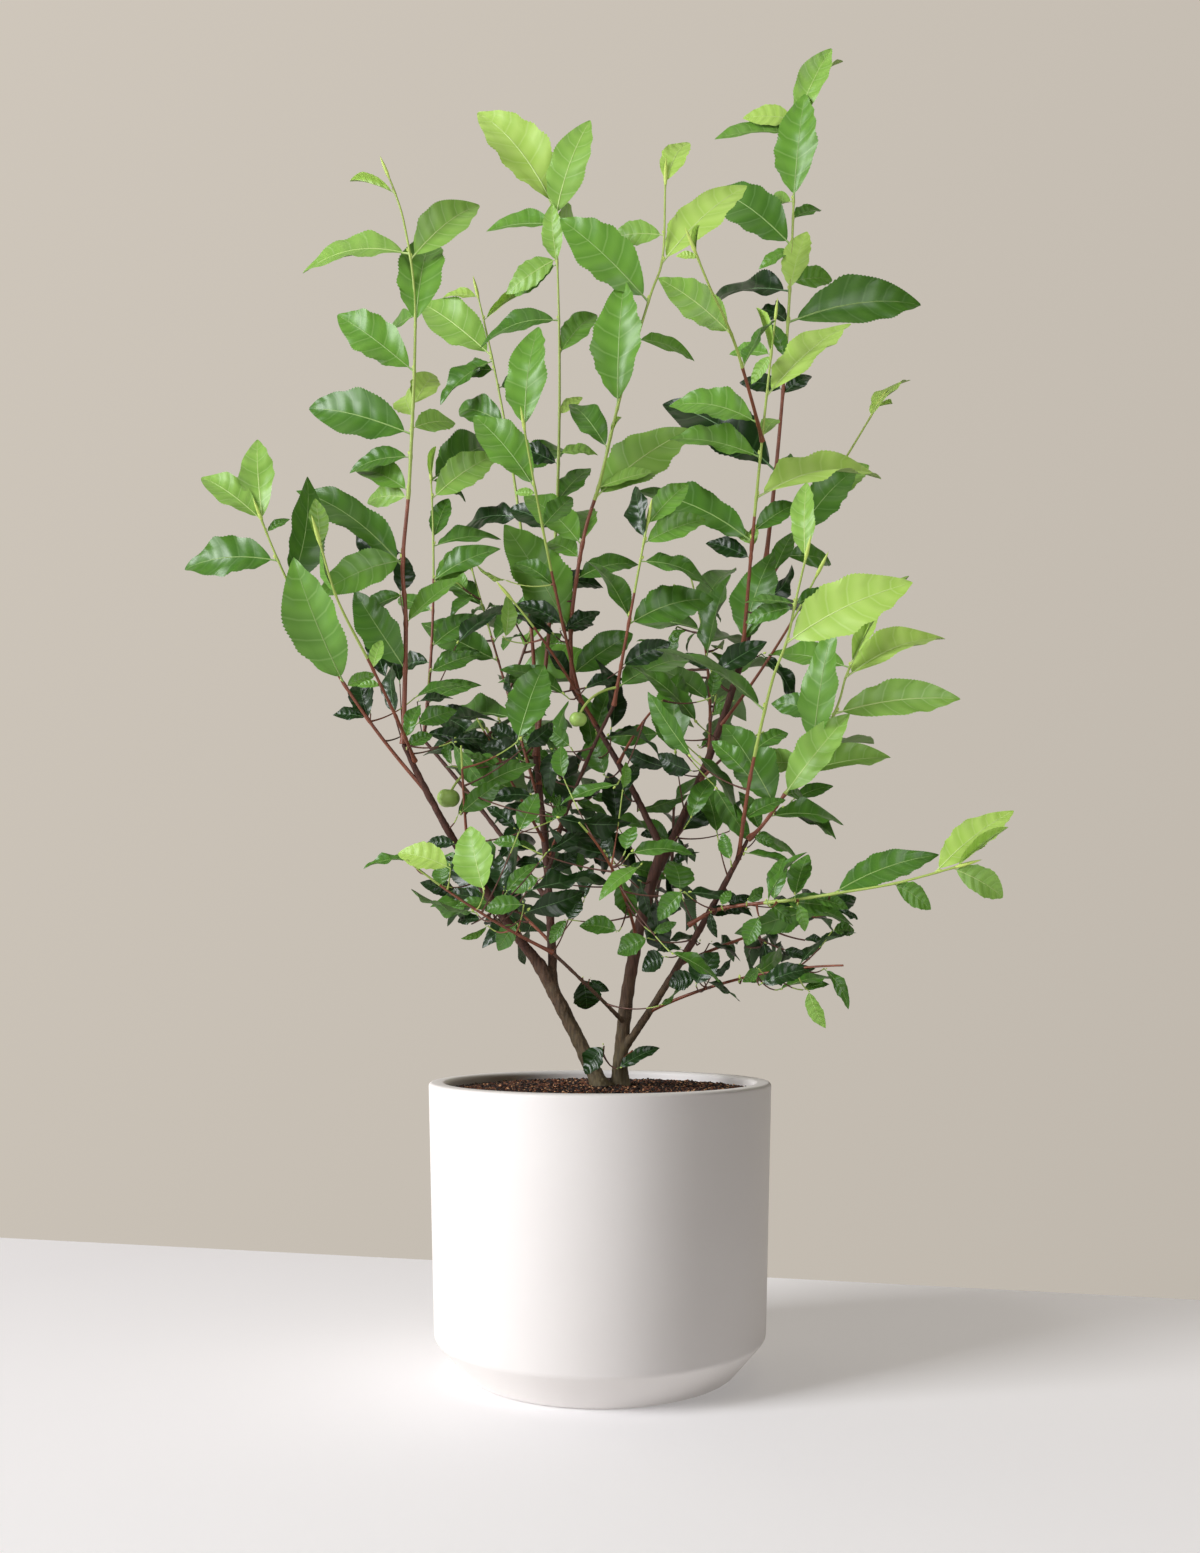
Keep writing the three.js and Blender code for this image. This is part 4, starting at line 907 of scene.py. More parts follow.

# %% [markdown]
# ## The heart
# The low heart of the bush is open: its limbs show, with the wall between them. Its front leaves are listed
# too. A row says where a leaf starts and ends as the camera sees it, in mm on the upright plane through the
# trunk; then the width that one sees, how fresh it is in hundredths, which is partly painted light and shade,
# and how far the leaf stands behind that plane, or before it if under 0. A leaf seen narrower than it is wide
# is rolled about its midrib. Each hangs on a fine twig of its own from the nearest limb or shoot that runs
# its
# way. The openings are round: middle and radius. No leaf that the rule adds may show in one.

# %% Leaves of the heart
# the fresh column is partly painted light and shade
HEART = [
    (-128, 521, -97, 538, 14, 32, 40), (-139, 502, -112, 517, 6, 42, 10), (-137, 499, -115, 505, 6, 3, 40),
    (-138, 482, -113, 494, 15, 25, 20), (-145, 465, -129, 479, 10, 36, -40), (-75, 484, -115, 496, 6, 14, 30),
    (-132, 475, -95, 476, 12, 20, 0), (-111, 471, -80, 475, 9, 12, -10), (-111, 469, -91, 438, 10, 36, -40),
    (-111, 451, -118, 470, 7, 24, 10), (-76, 449, -98, 462, 7, 40, -20), (-59, 468, -79, 480, 13, 5, 0),
    (-60, 455, -80, 472, 15, 3, -20), (-62, 469, -48, 521, 27, 42, -70), (-25, 503, -63, 533, 12, 34, 10),
    (-45, 510, -68, 523, 6, 30, 40), (-64, 503, -75, 520, 6, 8, 40), (-57, 465, -36, 480, 13, 8, -40),
    (-22, 465, -37, 479, 13, 26, -20), (-34, 464, -41, 436, 13, 4, -30), (-27, 441, -33, 463, 12, 40, -50),
    (-92, 434, -58, 456, 14, 24, -30), (-105, 415, -80, 437, 15, 42, -60), (-107, 413, -98, 432, 6, 34, -20),
    (-49, 428, -80, 434, 11, 3, 0), (-50, 422, -78, 418, 9, 5, 10), (-61, 401, -50, 427, 14, 30, -60),
    (-62, 403, -80, 421, 10, 10, -20), (-58, 391, -76, 398, 9, 30, -50), (-47, 385, -58, 397, 5, 25, 10),
    (-36, 410, -28, 421, 8, 30, -30), (-35, 413, 15, 400, 13, 5, -70), (-40, 386, -12, 402, 9, 22, -60),
    (5, 385, -35, 391, 9, 18, -40), (-22, 515, -35, 541, 12, 12, 50), (-12, 508, 10, 522, 8, 10, 0),
    (-3, 476, 4, 510, 15, 30, 40), (-5, 458, -9, 500, 18, 33, 50), (4, 443, -6, 474, 22, 32, 40),
    (8, 476, 18, 523, 13, 3, 10), (18, 525, 44, 534, 12, 7, 0), (57, 458, 52, 515, 29, 28, -30),
    (74, 482, 40, 525, 12, 34, -50), (70, 456, 38, 497, 12, 24, -70), (4, 472, 42, 488, 7, 8, -30),
    (46, 475, 11, 474, 15, 34, 20), (83, 502, 88, 521, 9, 36, -60), (84, 519, 117, 541, 17, 4, 20),
    (83, 523, 64, 536, 10, 18, 10), (74, 465, 98, 477, 13, 34, 40), (72, 460, 109, 428, 9, 38, -60),
    (85, 437, 109, 400, 14, 40, -50), (67, 410, 79, 443, 15, 28, -30), (88, 399, 83, 436, 16, 28, -20),
    (97, 402, 101, 426, 8, 10, 0), (120, 402, 110, 430, 13, 28, -20), (28, 417, 62, 426, 10, 24, 20),
    (70, 447, 46, 454, 14, 8, -40), (50, 450, 20, 456, 11, 22, 0), (17, 433, 21, 451, 7, 46, -50),
    (18, 430, 26, 453, 9, 8, 0), (13, 437, -25, 432, 8, 40, -50), (12, 408, 12, 442, 24, 22, 40),
    (19, 387, 22, 405, 12, 24, -70), (22, 385, 62, 397, 11, 30, -70), (10, 380, 2, 399, 12, 14, 10),
    (58, 398, 66, 381, 4, 20, -20), (98, 380, 92, 398, 10, 38, -60), (108, 386, 145, 382, 5, 35, -60),
    (146, 352, 151, 382, 15, 35, -95), (-112, 374, -144, 391, 19, 80, -90),
    (-87, 356, -99, 399, 28, 76, -100), (-141, 381, -172, 383, 5, 30, -60),
    (-108, 392, -127, 396, 9, 14, -20), (-118, 361, -120, 375, 12, 32, -30),
    (-93, 341, -138, 346, 7, 24, -60), (-86, 350, -112, 358, 10, 8, -40), (-82, 347, -104, 351, 6, 28, -60),
    (-84, 331, -100, 320, 4, 44, -40), (-62, 333, -77, 317, 13, 38, -40), (-57, 347, -83, 348, 13, 42, -80),
    (-72, 358, -78, 381, 13, 14, -20), (-71, 355, -54, 378, 10, 35, -60), (-45, 367, -65, 360, 13, 36, -30),
    (-40, 375, -62, 384, 10, 4, 0), (-55, 357, -2, 374, 13, 12, -60), (-56, 341, -17, 354, 16, 15, -70),
    (-38, 372, -20, 385, 12, 5, -20), (-12, 350, -10, 374, 11, 14, 0), (-24, 335, -17, 351, 13, 10, -20),
    (-24, 336, -38, 322, 9, 28, -10), (14, 327, -10, 336, 14, 35, -50), (-13, 292, -8, 270, 20, 12, -30),
    (-8, 291, 5, 283, 6, 12, -30), (30, 376, 0, 360, 9, 50, -70), (16, 368, 22, 335, 15, 32, -50),
    (30, 365, 36, 336, 7, 20, -20), (20, 376, 46, 370, 14, 34, 20), (60, 357, 60, 378, 22, 28, -20),
    (63, 357, 44, 342, 14, 32, -70), (64, 356, 107, 357, 6, 14, -60), (36, 322, 15, 314, 16, 24, -50),
    (39, 326, 55, 333, 7, 35, -60), (49, 308, 33, 303, 15, 22, -50), (62, 313, 42, 318, 6, 12, -30),
    (52, 312, 87, 298, 9, 34, -80), (72, 286, 81, 310, 20, 14, -60), (72, 292, 54, 289, 14, 22, -50),
    (82, 318, 104, 312, 5, 10, -20), (83, 293, 98, 301, 5, 10, -30), (44, 271, 62, 282, 4, 30, -50),
    (78, 290, 103, 282, 4, 14, -60), (104, 290, 150, 308, 14, 24, -60), (120, 287, 150, 302, 14, 22, -80),
    (119, 299, 110, 289, 7, 40, -80), (133, 283, 170, 299, 9, 24, -60), (168, 299, 189, 279, 7, 24, -60),
    (152, 283, 168, 290, 6, 40, -60), (156, 283, 164, 257, 10, 75, -60), (148, 300, 172, 333, 5, 19, -60),
    (174, 327, 193, 331, 10, 40, -60), (168, 345, 112, 332, 15, 36, -60), (140, 345, 184, 346, 13, 26, -40),
    (120, 338, 109, 321, 13, 42, -70), (148, 348, 155, 331, 8, 44, -100), (110, 349, 122, 358, 8, 30, -80),
    (91, 346, 96, 357, 7, 34, -70), (112, 344, 97, 342, 6, 20, -40), (83, 342, 83, 325, 6, 18, -60),
    (75, 318, 52, 330, 6, 9, -30), (125, 348, 138, 386, 4, 42, -100), (3, 241, -12, 225, 15, 4, -20),
    (13, 224, 38, 241, 9, 14, -20), (-33, 548, -60, 569, 10, 5, 20), (-30, 552, -9, 562, 12, 6, 30),
    (-38, 580, -62, 600, 10, 22, 20), (116, 566, 180, 592, 12, 18, 30), (120, 571, 150, 592, 12, 6, 10),
    (121, 535, 153, 508, 9, 20, 10), (144, 425, 169, 440, 10, 24, -30), (135, 418, 180, 410, 9, 36, -60),
    (-172, 490, -184, 519, 20, 5, -20), (-160, 515, -172, 552, 15, 7, 30), (-150, 512, -155, 545, 12, 3, 20),
    (-150, 580, -145, 606, 16, 18, 20), (-108, 541, -76, 583, 9, 8, 60), (-71, 546, -66, 576, 12, 62, 0),
    (-70, 590, -91, 595, 3, 95, 0),
]
OPENINGS = [
    (-150, 415, 30), (-130, 400, 14), (-90, 512, 18), (-75, 500, 9), (-85, 535, 15), (-112, 445, 9),
    (-112, 420, 9), (-88, 403, 8), (-30, 490, 9), (-30, 505, 8), (-14, 428, 9), (33, 503, 12), (-8, 530, 9),
    (20, 465, 8), (35, 466, 7), (62, 528, 8), (98, 515, 6), (112, 500, 14), (122, 488, 9), (72, 500, 6),
    (70, 470, 6), (92, 455, 10), (105, 448, 7), (40, 440, 11), (51, 435, 8), (30, 412, 7), (44, 413, 8),
    (75, 402, 10), (62, 403, 5), (-130, 315, 30), (-105, 300, 32), (-85, 280, 25), (-8, 318, 12),
    (-20, 315, 8), (-5, 300, 16), (-15, 270, 20), (5, 260, 14), (10, 305, 10), (54, 333, 9), (57, 345, 6),
    (70, 378, 8), (78, 394, 7), (90, 372, 6), (112, 367, 8), (128, 375, 10), (96, 328, 7), (150, 322, 10),
    (160, 330, 8), (140, 330, 6), (60, 272, 15), (50, 255, 14), (90, 265, 22), (108, 315, 8), (125, 262, 22),
    (-70, 250, 40), (165, 400, 16), (200, 395, 22), (200, 320, 16), (190, 300, 10), (-180, 460, 22),
    (-110, 560, 12), (-90, 590, 14), (40, 580, 12), (60, 600, 14), (-5, 600, 9),
]
HEART_WIDTH = dict(long=0.42, short=0.5, from_length=30, least=0.75, more=0.2)   # of the length; mm; draws
HEART_TWIG = dict(girth=(0.65, 0.42), sag=3)   # mm
FULL = 1.12                                # a bent blade looks this much smaller
SLANT = 2.2                                # how much a twig prefers to run the way its leaf does
AVERSE = 0.2                               # the share of blades that are turned from the light


def behind(x, z, depth):
    """The place at some depth that the camera sees at a place of the upright plane."""
    scale = 1 - depth / EYE[1]
    return np.array([x * scale, depth, EYE[2] + (z - EYE[2]) * scale])


def in_opening(point):
    """Whether the camera would see a point in one of the openings."""
    scale = 1 - point[1] / EYE[1]
    x, z = point[0] / scale, EYE[2] + (point[2] - EYE[2]) / scale
    return any((x - a) ** 2 + (z - b) ** 2 < r * r for a, b, r in OPENINGS)


def heart_leaf(number, x, z, tip_x, tip_z, seen, fresh, depth, draw):
    """A leaf of the heart on a twig of its own."""
    root = behind(x, z, depth)
    run = behind(tip_x, tip_z, depth) - root
    length = FULL * np.linalg.norm(run)
    seen = FULL * seen
    share = HEART_WIDTH["long" if length > HEART_WIDTH["from_length"] else "short"]
    wide = max(seen, share * length * (HEART_WIDTH["least"] + HEART_WIDTH["more"] * draw()))
    roll = math.degrees(math.acos(min(1, seen / wide))) * (-1 if draw() < AVERSE else 1)
    foot = min(feet, key=lambda spot: np.linalg.norm(root - spot)
               * (SLANT - unit(root - spot + (0, 0, 0.1)) @ unit(run)))
    path = Path(foot, root, (0, 0, -HEART_TWIG["sag"]))
    stem = SimpleNamespace(owner=f"heart {number}", path=path, girth=HEART_TWIG["girth"], bearer=True,
                           fresh=fresh / 100)
    clock = math.degrees(math.atan2(run[0], run[2]))
    one = hand_leaf(stem, draw, 1, clock, length, fresh / 100, roll, 0, wide / length)
    one.width = wide
    return one


feet = [path.point(t) for path in list(paths.values()) + [each.main.path for each in shoots]
        for t in np.linspace(0.1, 1, 24)]
heart = [heart_leaf(number, *row, draw) for number, row in enumerate(HEART)]
print(len(heart), "leaves set by hand in the heart,", len(OPENINGS), "openings")

# %% [markdown]
# ## Keeping clear
# On a real bush no leaf grows through another. Each candidate is tested as a plain, faceted blade against all
# that stands already: an edge of one that passes through a face of the other is a crossing. All edges and
# faces that lie near are tested at once with arrays, which makes thousands of tests quick.

# %% Crossing test
CLEAR = 0.6                                # what a leaf keeps to its neighbours, in mm
TURNS = (0, 24, -24, 48, -48, 80, -80)     # degrees a leaf is turned by until it is clear
SLEEVE = dict(step=22, wider=1.3)          # short square sleeves keep leaves out of a stem
PROXY = dict(long=(0.28, 0.68), short=(0.42,), short_under=62,       # where its rings are, and mm
             sunk=0.5, thick=0.016)        # mm, and of the length
BELLY = dict(power=0.893, full=0.85)       # how far along a blade is widest, and how full its sides are


def lofted(rings, pointed):
    """The triangles through rings of equal counts; pointed ends have one more point each."""
    count = len(rings)
    n = len(rings[0])
    points = np.concatenate([np.reshape(ring, (-1, 3)) for ring in rings])
    turn = [(k, (k + 1) % n) for k in range(n)]
    faces = []
    for i in range(0, (count - 1) * n, n):
        for k, after in turn:
            faces += [(i + k, i + after, i + n + after), (i + k, i + n + after, i + n + k)]
    last = (count - 1) * n
    if pointed is None:
        faces += [(0, k + 1, k) for k in range(1, n - 1)]
        faces += [(last, last + k, last + k + 1) for k in range(1, n - 1)]
    else:
        size = len(points)
        points = np.concatenate([points, pointed])
        faces += [(size, after, k) for k, after in turn]
        faces += [(last + k, last + after, size + 1) for k, after in turn]
    return points, faces


def hull(owner, points, faces):
    """What a crossing test needs of a body: its faces, edges and box."""
    edges = sorted({tuple(sorted(pair)) for a, b, c in faces for pair in ((a, b), (b, c), (c, a))})
    return SimpleNamespace(owner=owner, faces=points[np.array(faces)], edges=points[np.array(edges)],
                           low=points.min(0), high=points.max(0))


def circle(path, t, radius, sides):
    centre = path.point(t)
    axis = path.way(t)
    return [centre + outward(axis, 2 * math.pi * k / sides) * radius for k in range(sides)]


def sleeves(owner, path, girth):
    """Short sleeves along a path, a little wider than its stem."""
    steps = max(1, round(path.length / SLEEVE["step"]))
    bodies = []
    for i in range(steps):
        ends = [circle(path, t, SLEEVE["wider"] * (lerp(*girth, t) + CLEAR), 4)
                for t in (i / steps, (i + 1) / steps)]
        bodies.append(hull(owner, *lofted(ends, None)))
    return bodies


def outline(u):
    """The half width of a blade at a share of its length: widest before the middle, with a drawn-out tip."""
    return np.sin(np.pi * u ** BELLY["power"]) ** BELLY["full"]


def along(one, u):
    """The middle of an arched blade at a share of its length, and the direction that it faces there."""
    bend = one.arch * u
    middle = one.root + one.way * one.length * (STALK + math.sin(bend) / one.arch)
    middle = middle - one.face * one.length * (1 - math.cos(bend)) / one.arch
    return middle, one.face * math.cos(bend) + one.way * math.sin(bend)


def proxy(one):
    """A leaf as a plain faceted blade."""
    rings = []
    for u in PROXY["short"] if one.length < PROXY["short_under"] else PROXY["long"]:
        middle, up = along(one, u)
        half = 0.5 * one.width * outline(u)
        out = one.side * half * math.cos(one.fold)
        lift = up * half * math.sin(one.fold)
        rings.append([middle + out + lift, middle - out + lift, middle - up * PROXY["thick"] * one.length])
    middle, up = along(one, 1)
    return lofted(rings, [one.root - one.way * PROXY["sunk"], middle - up * PROXY["thick"] * one.length])


def pierced(edges, faces):
    """Whether any edge passes through any face."""
    start = edges[:, None, 0]
    run = edges[:, None, 1] - start
    a = faces[None, :, 0]
    ab = faces[None, :, 1] - a
    ac = faces[None, :, 2] - a
    cross = np.cross(run, ac)
    det = (cross * ab).sum(-1)
    det[np.abs(det) < 1e-9] = np.inf
    away = start - a
    u = (away * cross).sum(-1) / det
    turned_away = np.cross(away, ab)
    v = (run * turned_away).sum(-1) / det
    t = (ac * turned_away).sum(-1) / det
    return bool(((u >= 0) & (v >= 0) & (u + v <= 1) & (t >= 0) & (t <= 1) & np.isfinite(det)).any())


class Standing:
    """All bodies that stand already."""

    def __init__(self):
        self.bodies = []
        self.low = np.empty((0, 3))
        self.high = np.empty((0, 3))

    def keep(self, bodies):
        self.bodies += bodies
        self.low = np.concatenate([self.low, [b.low for b in bodies]])
        self.high = np.concatenate([self.high, [b.high for b in bodies]])

    def crosses(self, bodies, owners):
        """Whether any of some bodies crosses one that stands, apart from some owners' own."""
        low = np.min([b.low for b in bodies], axis=0)
        high = np.max([b.high for b in bodies], axis=0)
        near = np.nonzero((self.low <= high).all(1) & (self.high >= low).all(1))[0]
        near = [self.bodies[i] for i in near if self.bodies[i].owner not in owners]
        if not near:
            return False
        edges = np.concatenate([b.edges for b in near])
        faces = np.concatenate([b.faces for b in near])
        return any(pierced(own.edges, faces) or pierced(edges, own.faces) for own in bodies)


# %% [markdown]
# ## Fruits
# Tea sets small green capsules near last year's leaves. Two hang in the heart of the bush, each on a bowed
# stalk. They stand before the leaves do, so the leaves keep clear of them.

# %% Where the fruits hang
FRUITS = {
    "spray_inner_left": dict(at=0.7, hang=(-36, -14, -34), radius=8.5),
    "shoot_crossing": dict(at=0.1, hang=(-28, -16, -26), radius=6.2),
}
FLAT = 0.85                                # a capsule is a little flatter than a ball
FRUIT_STALK = dict(bow=0.12, arch=4, girth=0.3)            # share of its run, mm, mm
ROUND = (-1.05, -0.52, 0, 0.52, 1.05)      # tilts of a plain ball's rings

standing = Standing()
for name, path in paths.items():
    standing.keep(sleeves(name, path, LIMBS[name]["girth"]))
for each in shoots:
    standing.keep(sleeves(each.name, each.main.path, each.main.girth))
for each in shoots:
    each.fruit = None
    if each.name in FRUITS:
        spec = FRUITS[each.name]
        start = each.main.path.point(spec["at"])
        centre = start + spec["hang"]
        aside, forth, _ = spec["hang"]
        stalk = Path(start, centre, (aside * FRUIT_STALK["bow"], forth * FRUIT_STALK["bow"],
                                     FRUIT_STALK["arch"]))
        each.fruit = SimpleNamespace(centre=centre, radius=spec["radius"], path=stalk)
        rings = [[centre + np.array([math.cos(a) * math.cos(b), math.sin(a) * math.cos(b),
                                     math.sin(b) * FLAT]) * spec["radius"]
                  for a in np.arange(8) * math.pi / 4] for b in ROUND]
        ends = centre + np.array([(0, 0, -1), (0, 0, 1)]) * spec["radius"] * FLAT
        standing.keep([hull("fruit", *lofted(rings, ends))])
        standing.keep(sleeves("fruit", stalk, (FRUIT_STALK["girth"], FRUIT_STALK["girth"])))
print(len(standing.bodies), "bodies stand before the leaves")

# %% [markdown]
# Side twigs come next, shoot by shoot. Then the listed leaves take their places: one that would cross another
# nods a little to the viewer or away. The rule's leaves fill in behind them. One that would cross something,
# or would show in an opening, is turned round its stem a little at a time; if no turn helps, it is left out,
# as a bush sheds a leaf that it can't light.

# %% How a leaf or a twig finds its place
BACK = 22                                  # how far back the rule's part of the heart begins, in mm
BARE = ("sucker_left", "sucker_right", "spray_low_left")     # dressed with listed leaves only


def settled(one, owners):
    """Turns a leaf until it is clear. Says whether it found a place."""
    for degrees in TURNS:
        pose(one, degrees)
        if any(in_opening(one.root + one.way * part * one.length) for part in (0.5, 1)):
            continue
        points, faces = proxy(one)
        bodies = [hull("leaf", points + one.face * lift, faces) for lift in (-CLEAR, 0, CLEAR)]
        if not standing.crosses(bodies, owners):
            standing.keep([bodies[1]])
            return True
    return False


def clear_twig(twig, owners):
    """Keeps a twig if it crosses nothing but the stem that bears it."""
    rings = [circle(twig.path, t, lerp(*twig.girth, t) + CLEAR, 3) for t in (0, 1 / 3, 2 / 3, 1)]
    if standing.crosses([hull("twig", *lofted(rings, None))], owners):
        return False
    standing.keep(sleeves(twig.owner, twig.path, twig.girth))
    return True


def grown(mine, bearer):
    """The leaves that find a place. In front of the heart only the listed ones stand."""
    if bearer.name.startswith("spray"):
        mine = [one for one in mine if one.root[1] > BACK]
    return [one for one in mine if settled(one, {one.owner})]


# %% Let it grow
for each in shoots:
    if each.name in BARE:
        each.leaves = []
    each.twigs = [(twig, leaves) for twig, leaves in each.twigs if clear_twig(twig, {each.name})]
leaves = []
stems = []
for one in [one for each in shoots for one in each.by_hand] + heart:
    for nudge in HAND["nudge"]:
        hand_pose(one, nudge)
        body = hull("leaf", *proxy(one))
        if not standing.crosses([body], {one.owner}):
            break
    standing.keep([body])
    leaves.append(one)
for one in heart:
    stems.append(one.stem)
    standing.keep(sleeves(one.owner, one.stem.path, one.stem.girth))
print(len(leaves), "leaves set by hand stand")
for each in shoots:
    stems.append(each.main)
    leaves += grown(each.leaves, each)
    for twig, its_leaves in each.twigs:
        found = grown(its_leaves, each)
        if found:
            stems.append(twig)
            leaves += found
print(len(leaves), "leaves with those that the rule adds")

# %% [markdown]
# The old heart of the bush and its back then get finer twigs with small leaves, wherever there is still room
# for them.

# %% Fine twigs
FINE = dict(every=18, along=(0.12, 0.9), reach=(16, 30), size=(20, 36), leaves=3, droop=0.2, girth=(0.8, 0.6),
            darker=0.04)                   # sizes in mm

fine = 0
for number, each in enumerate(shoots):
    if each.by_hand or each.name in BARE:
        continue
    draw = draws(1000 + number)
    for bearer in [each.main] + [twig for twig, _ in each.twigs]:
        count = int(bearer.path.length / FINE["every"])
        for j in range(count):
            at = lerp(*FINE["along"], (j + draw()) / count)
            azimuth = j * GOLDEN + 2 * math.pi * draw()
            reach = lerp(*FINE["reach"], draw())
            size = lerp(*FINE["size"], draw())
            twig, its_leaves = side_twig(bearer, at, azimuth, reach, FINE["leaves"], size, FINE["droop"],
                                         each.row.fresh - FINE["darker"], draw, f"{bearer.owner} fine {j}")
            twig.girth = FINE["girth"]
            if twig.path.point(1)[1] < BACK or not clear_twig(twig, {bearer.owner}):
                continue
            found = [one for one in its_leaves if settled(one, {twig.owner, bearer.owner})]
            if found:
                stems.append(twig)
            fine += len(found)
            leaves += found
print(fine, "small leaves on finer twigs,", len(leaves), "leaves in all,", len(stems), "stems")

# %% [markdown]
# ## A leaf blade
# A tea blade is leathery, with a saw edge, a sunk midrib and side veins that bow forward to the margin; the
# skin between two veins bulges, which gives the blade its quilted shine. One flat pattern blade holds all
# that in shares of a leaf: how far along, how far across, and how high. Its rim has more points than its
# inside, for the teeth, and its cells bow forward as the veins do, so a vein lies on every second row of
# points. The under side has the same cells a little lower, so the two never meet, however the blade is bent.
# Long leaves use a blade of twelve cells, short ones a plainer one of six, so the whole bush stays light.

# %% Pattern blades
QUILT = dict(bulge=0.006, sunk=-0.001, middle=-0.005)      # heights, of the length
THICK = dict(skin=0.006, midrib=0.009)                     # of the length
INNER = 0.56                               # where the bulges lie, from midrib to margin
BOW = dict(forward=0.12, power=1.5)        # how far forward a vein ends, of the length, and how it bends
TOOTH = dict(out=0.034, back=-0.3, forward=0.35,           # of the half width, and of a step along the rim
             foot=6, tip=8)                # how fast the teeth begin at the stalk and end at the tip
BLADES = {"long": dict(cells=12, teeth=3), "short": dict(cells=6, teeth=2), "short_under": 46}


def pattern_blade(name, cells, teeth):
    """A flat blade whose points hold their place on any leaf, closed round a sharp rim."""
    fine_steps = 2 * teeth
    points, shares = [], []

    def point(u, v, z, forward=0.0):
        bowed = BOW["forward"] * min(1, abs(v)) ** BOW["power"]
        along_it = min(1.0, u + (bowed + forward) * math.sin(math.pi * u))
        points.append((along_it, 0.5 * v * float(outline(along_it)), z))
        shares.append((u, 0.5 + 0.5 * v))
        return len(points) - 1

    root = point(0, 0, QUILT["middle"])
    tip = point(1, 0, QUILT["middle"])
    inside = range(1, cells)
    faces, under, rims = [], [], set()

    def bone(drop):
        return [root] + [point(i / cells, 0, QUILT["middle"] - drop) for i in inside] + [tip]

    def inner(hand, drop):
        return [root] + [point(i / cells, hand * INNER, QUILT["bulge" if i % 2 else "sunk"] - drop)
                         for i in inside] + [tip]

    def face(corners, below):
        loop = [c for c, after in zip(corners, corners[1:] + corners[:1]) if c != after]
        if len(loop) > 2:
            faces.append(loop)
            under.append(below)

    middle, keel = bone(0), bone(THICK["midrib"])
    for hand in (1, -1):
        edge = [root]
        for j in range(1, cells * fine_steps):
            u = j / cells / fine_steps
            bite = TOOTH["out"] * min(1, TOOTH["foot"] * u) * min(1, TOOTH["tip"] * (1 - u))
            bite *= 1 if j % 2 else TOOTH["back"]
            forward = TOOTH["forward"] / cells / fine_steps if j % 2 else 0
            edge.append(point(u, hand * (1 + bite), 0, forward))
        edge.append(tip)
        rims |= {tuple(sorted(pair)) for pair in zip(edge, edge[1:])}
        for spine, line, order in ((middle, inner(hand, 0), hand),
                                   (keel, inner(hand, THICK["skin"]), -hand)):
            below = spine is keel
            for i in range(cells):
                rim = edge[i * fine_steps:(i + 1) * fine_steps + 1]
                half = 0 if i == 0 else fine_steps if i == cells - 1 else fine_steps // 2
                face([spine[i], spine[i + 1], line[i + 1]][::order], below)
                face([spine[i], line[i + 1], line[i]][::order], below)
                face([line[i], line[i + 1], rim[half]][::order], below)
                for k in range(fine_steps):
                    face([line[i + (k >= half)], rim[k + 1], rim[k]][::order], below)
    obj = shaped(name, np.array(points) / MM, faces)
    mesh = obj.data
    carry(obj, spot=points)
    mesh.attributes.new("under", "BOOLEAN", "FACE").data.foreach_set("value", under)
    sharp = [tuple(sorted(edge.vertices)) in rims for edge in mesh.edges]
    mesh.attributes.new("sharp_edge", "BOOLEAN", "EDGE").data.foreach_set("value", sharp)
    layer = mesh.uv_layers.new(name="UVMap")
    for loop in mesh.loops:
        layer.data[loop.index].uv = shares[loop.vertex_index]
    print(name, "blade:", len(faces), "faces")
    return obj


long_blade = pattern_blade("long", **BLADES["long"])
short_blade = pattern_blade("short", **BLADES["short"])

# %% [markdown]
# Geometry Nodes set a pattern blade on every leaf's point, make the copies real, and then move each point to
# its place on a bent blade. The midrib is an arc, so a point goes forward by the sine of the bend and falls
# by what the cosine lacks; near the tip it hooks down, and it sways aside a little. The fold lifts both
# halves, the twist turns them round the midrib, and the wave makes the margin ripple. All of that is in the
# attributes that each leaf brings along. The sums are written as a list, one Math node to a line, and read in
# a loop.

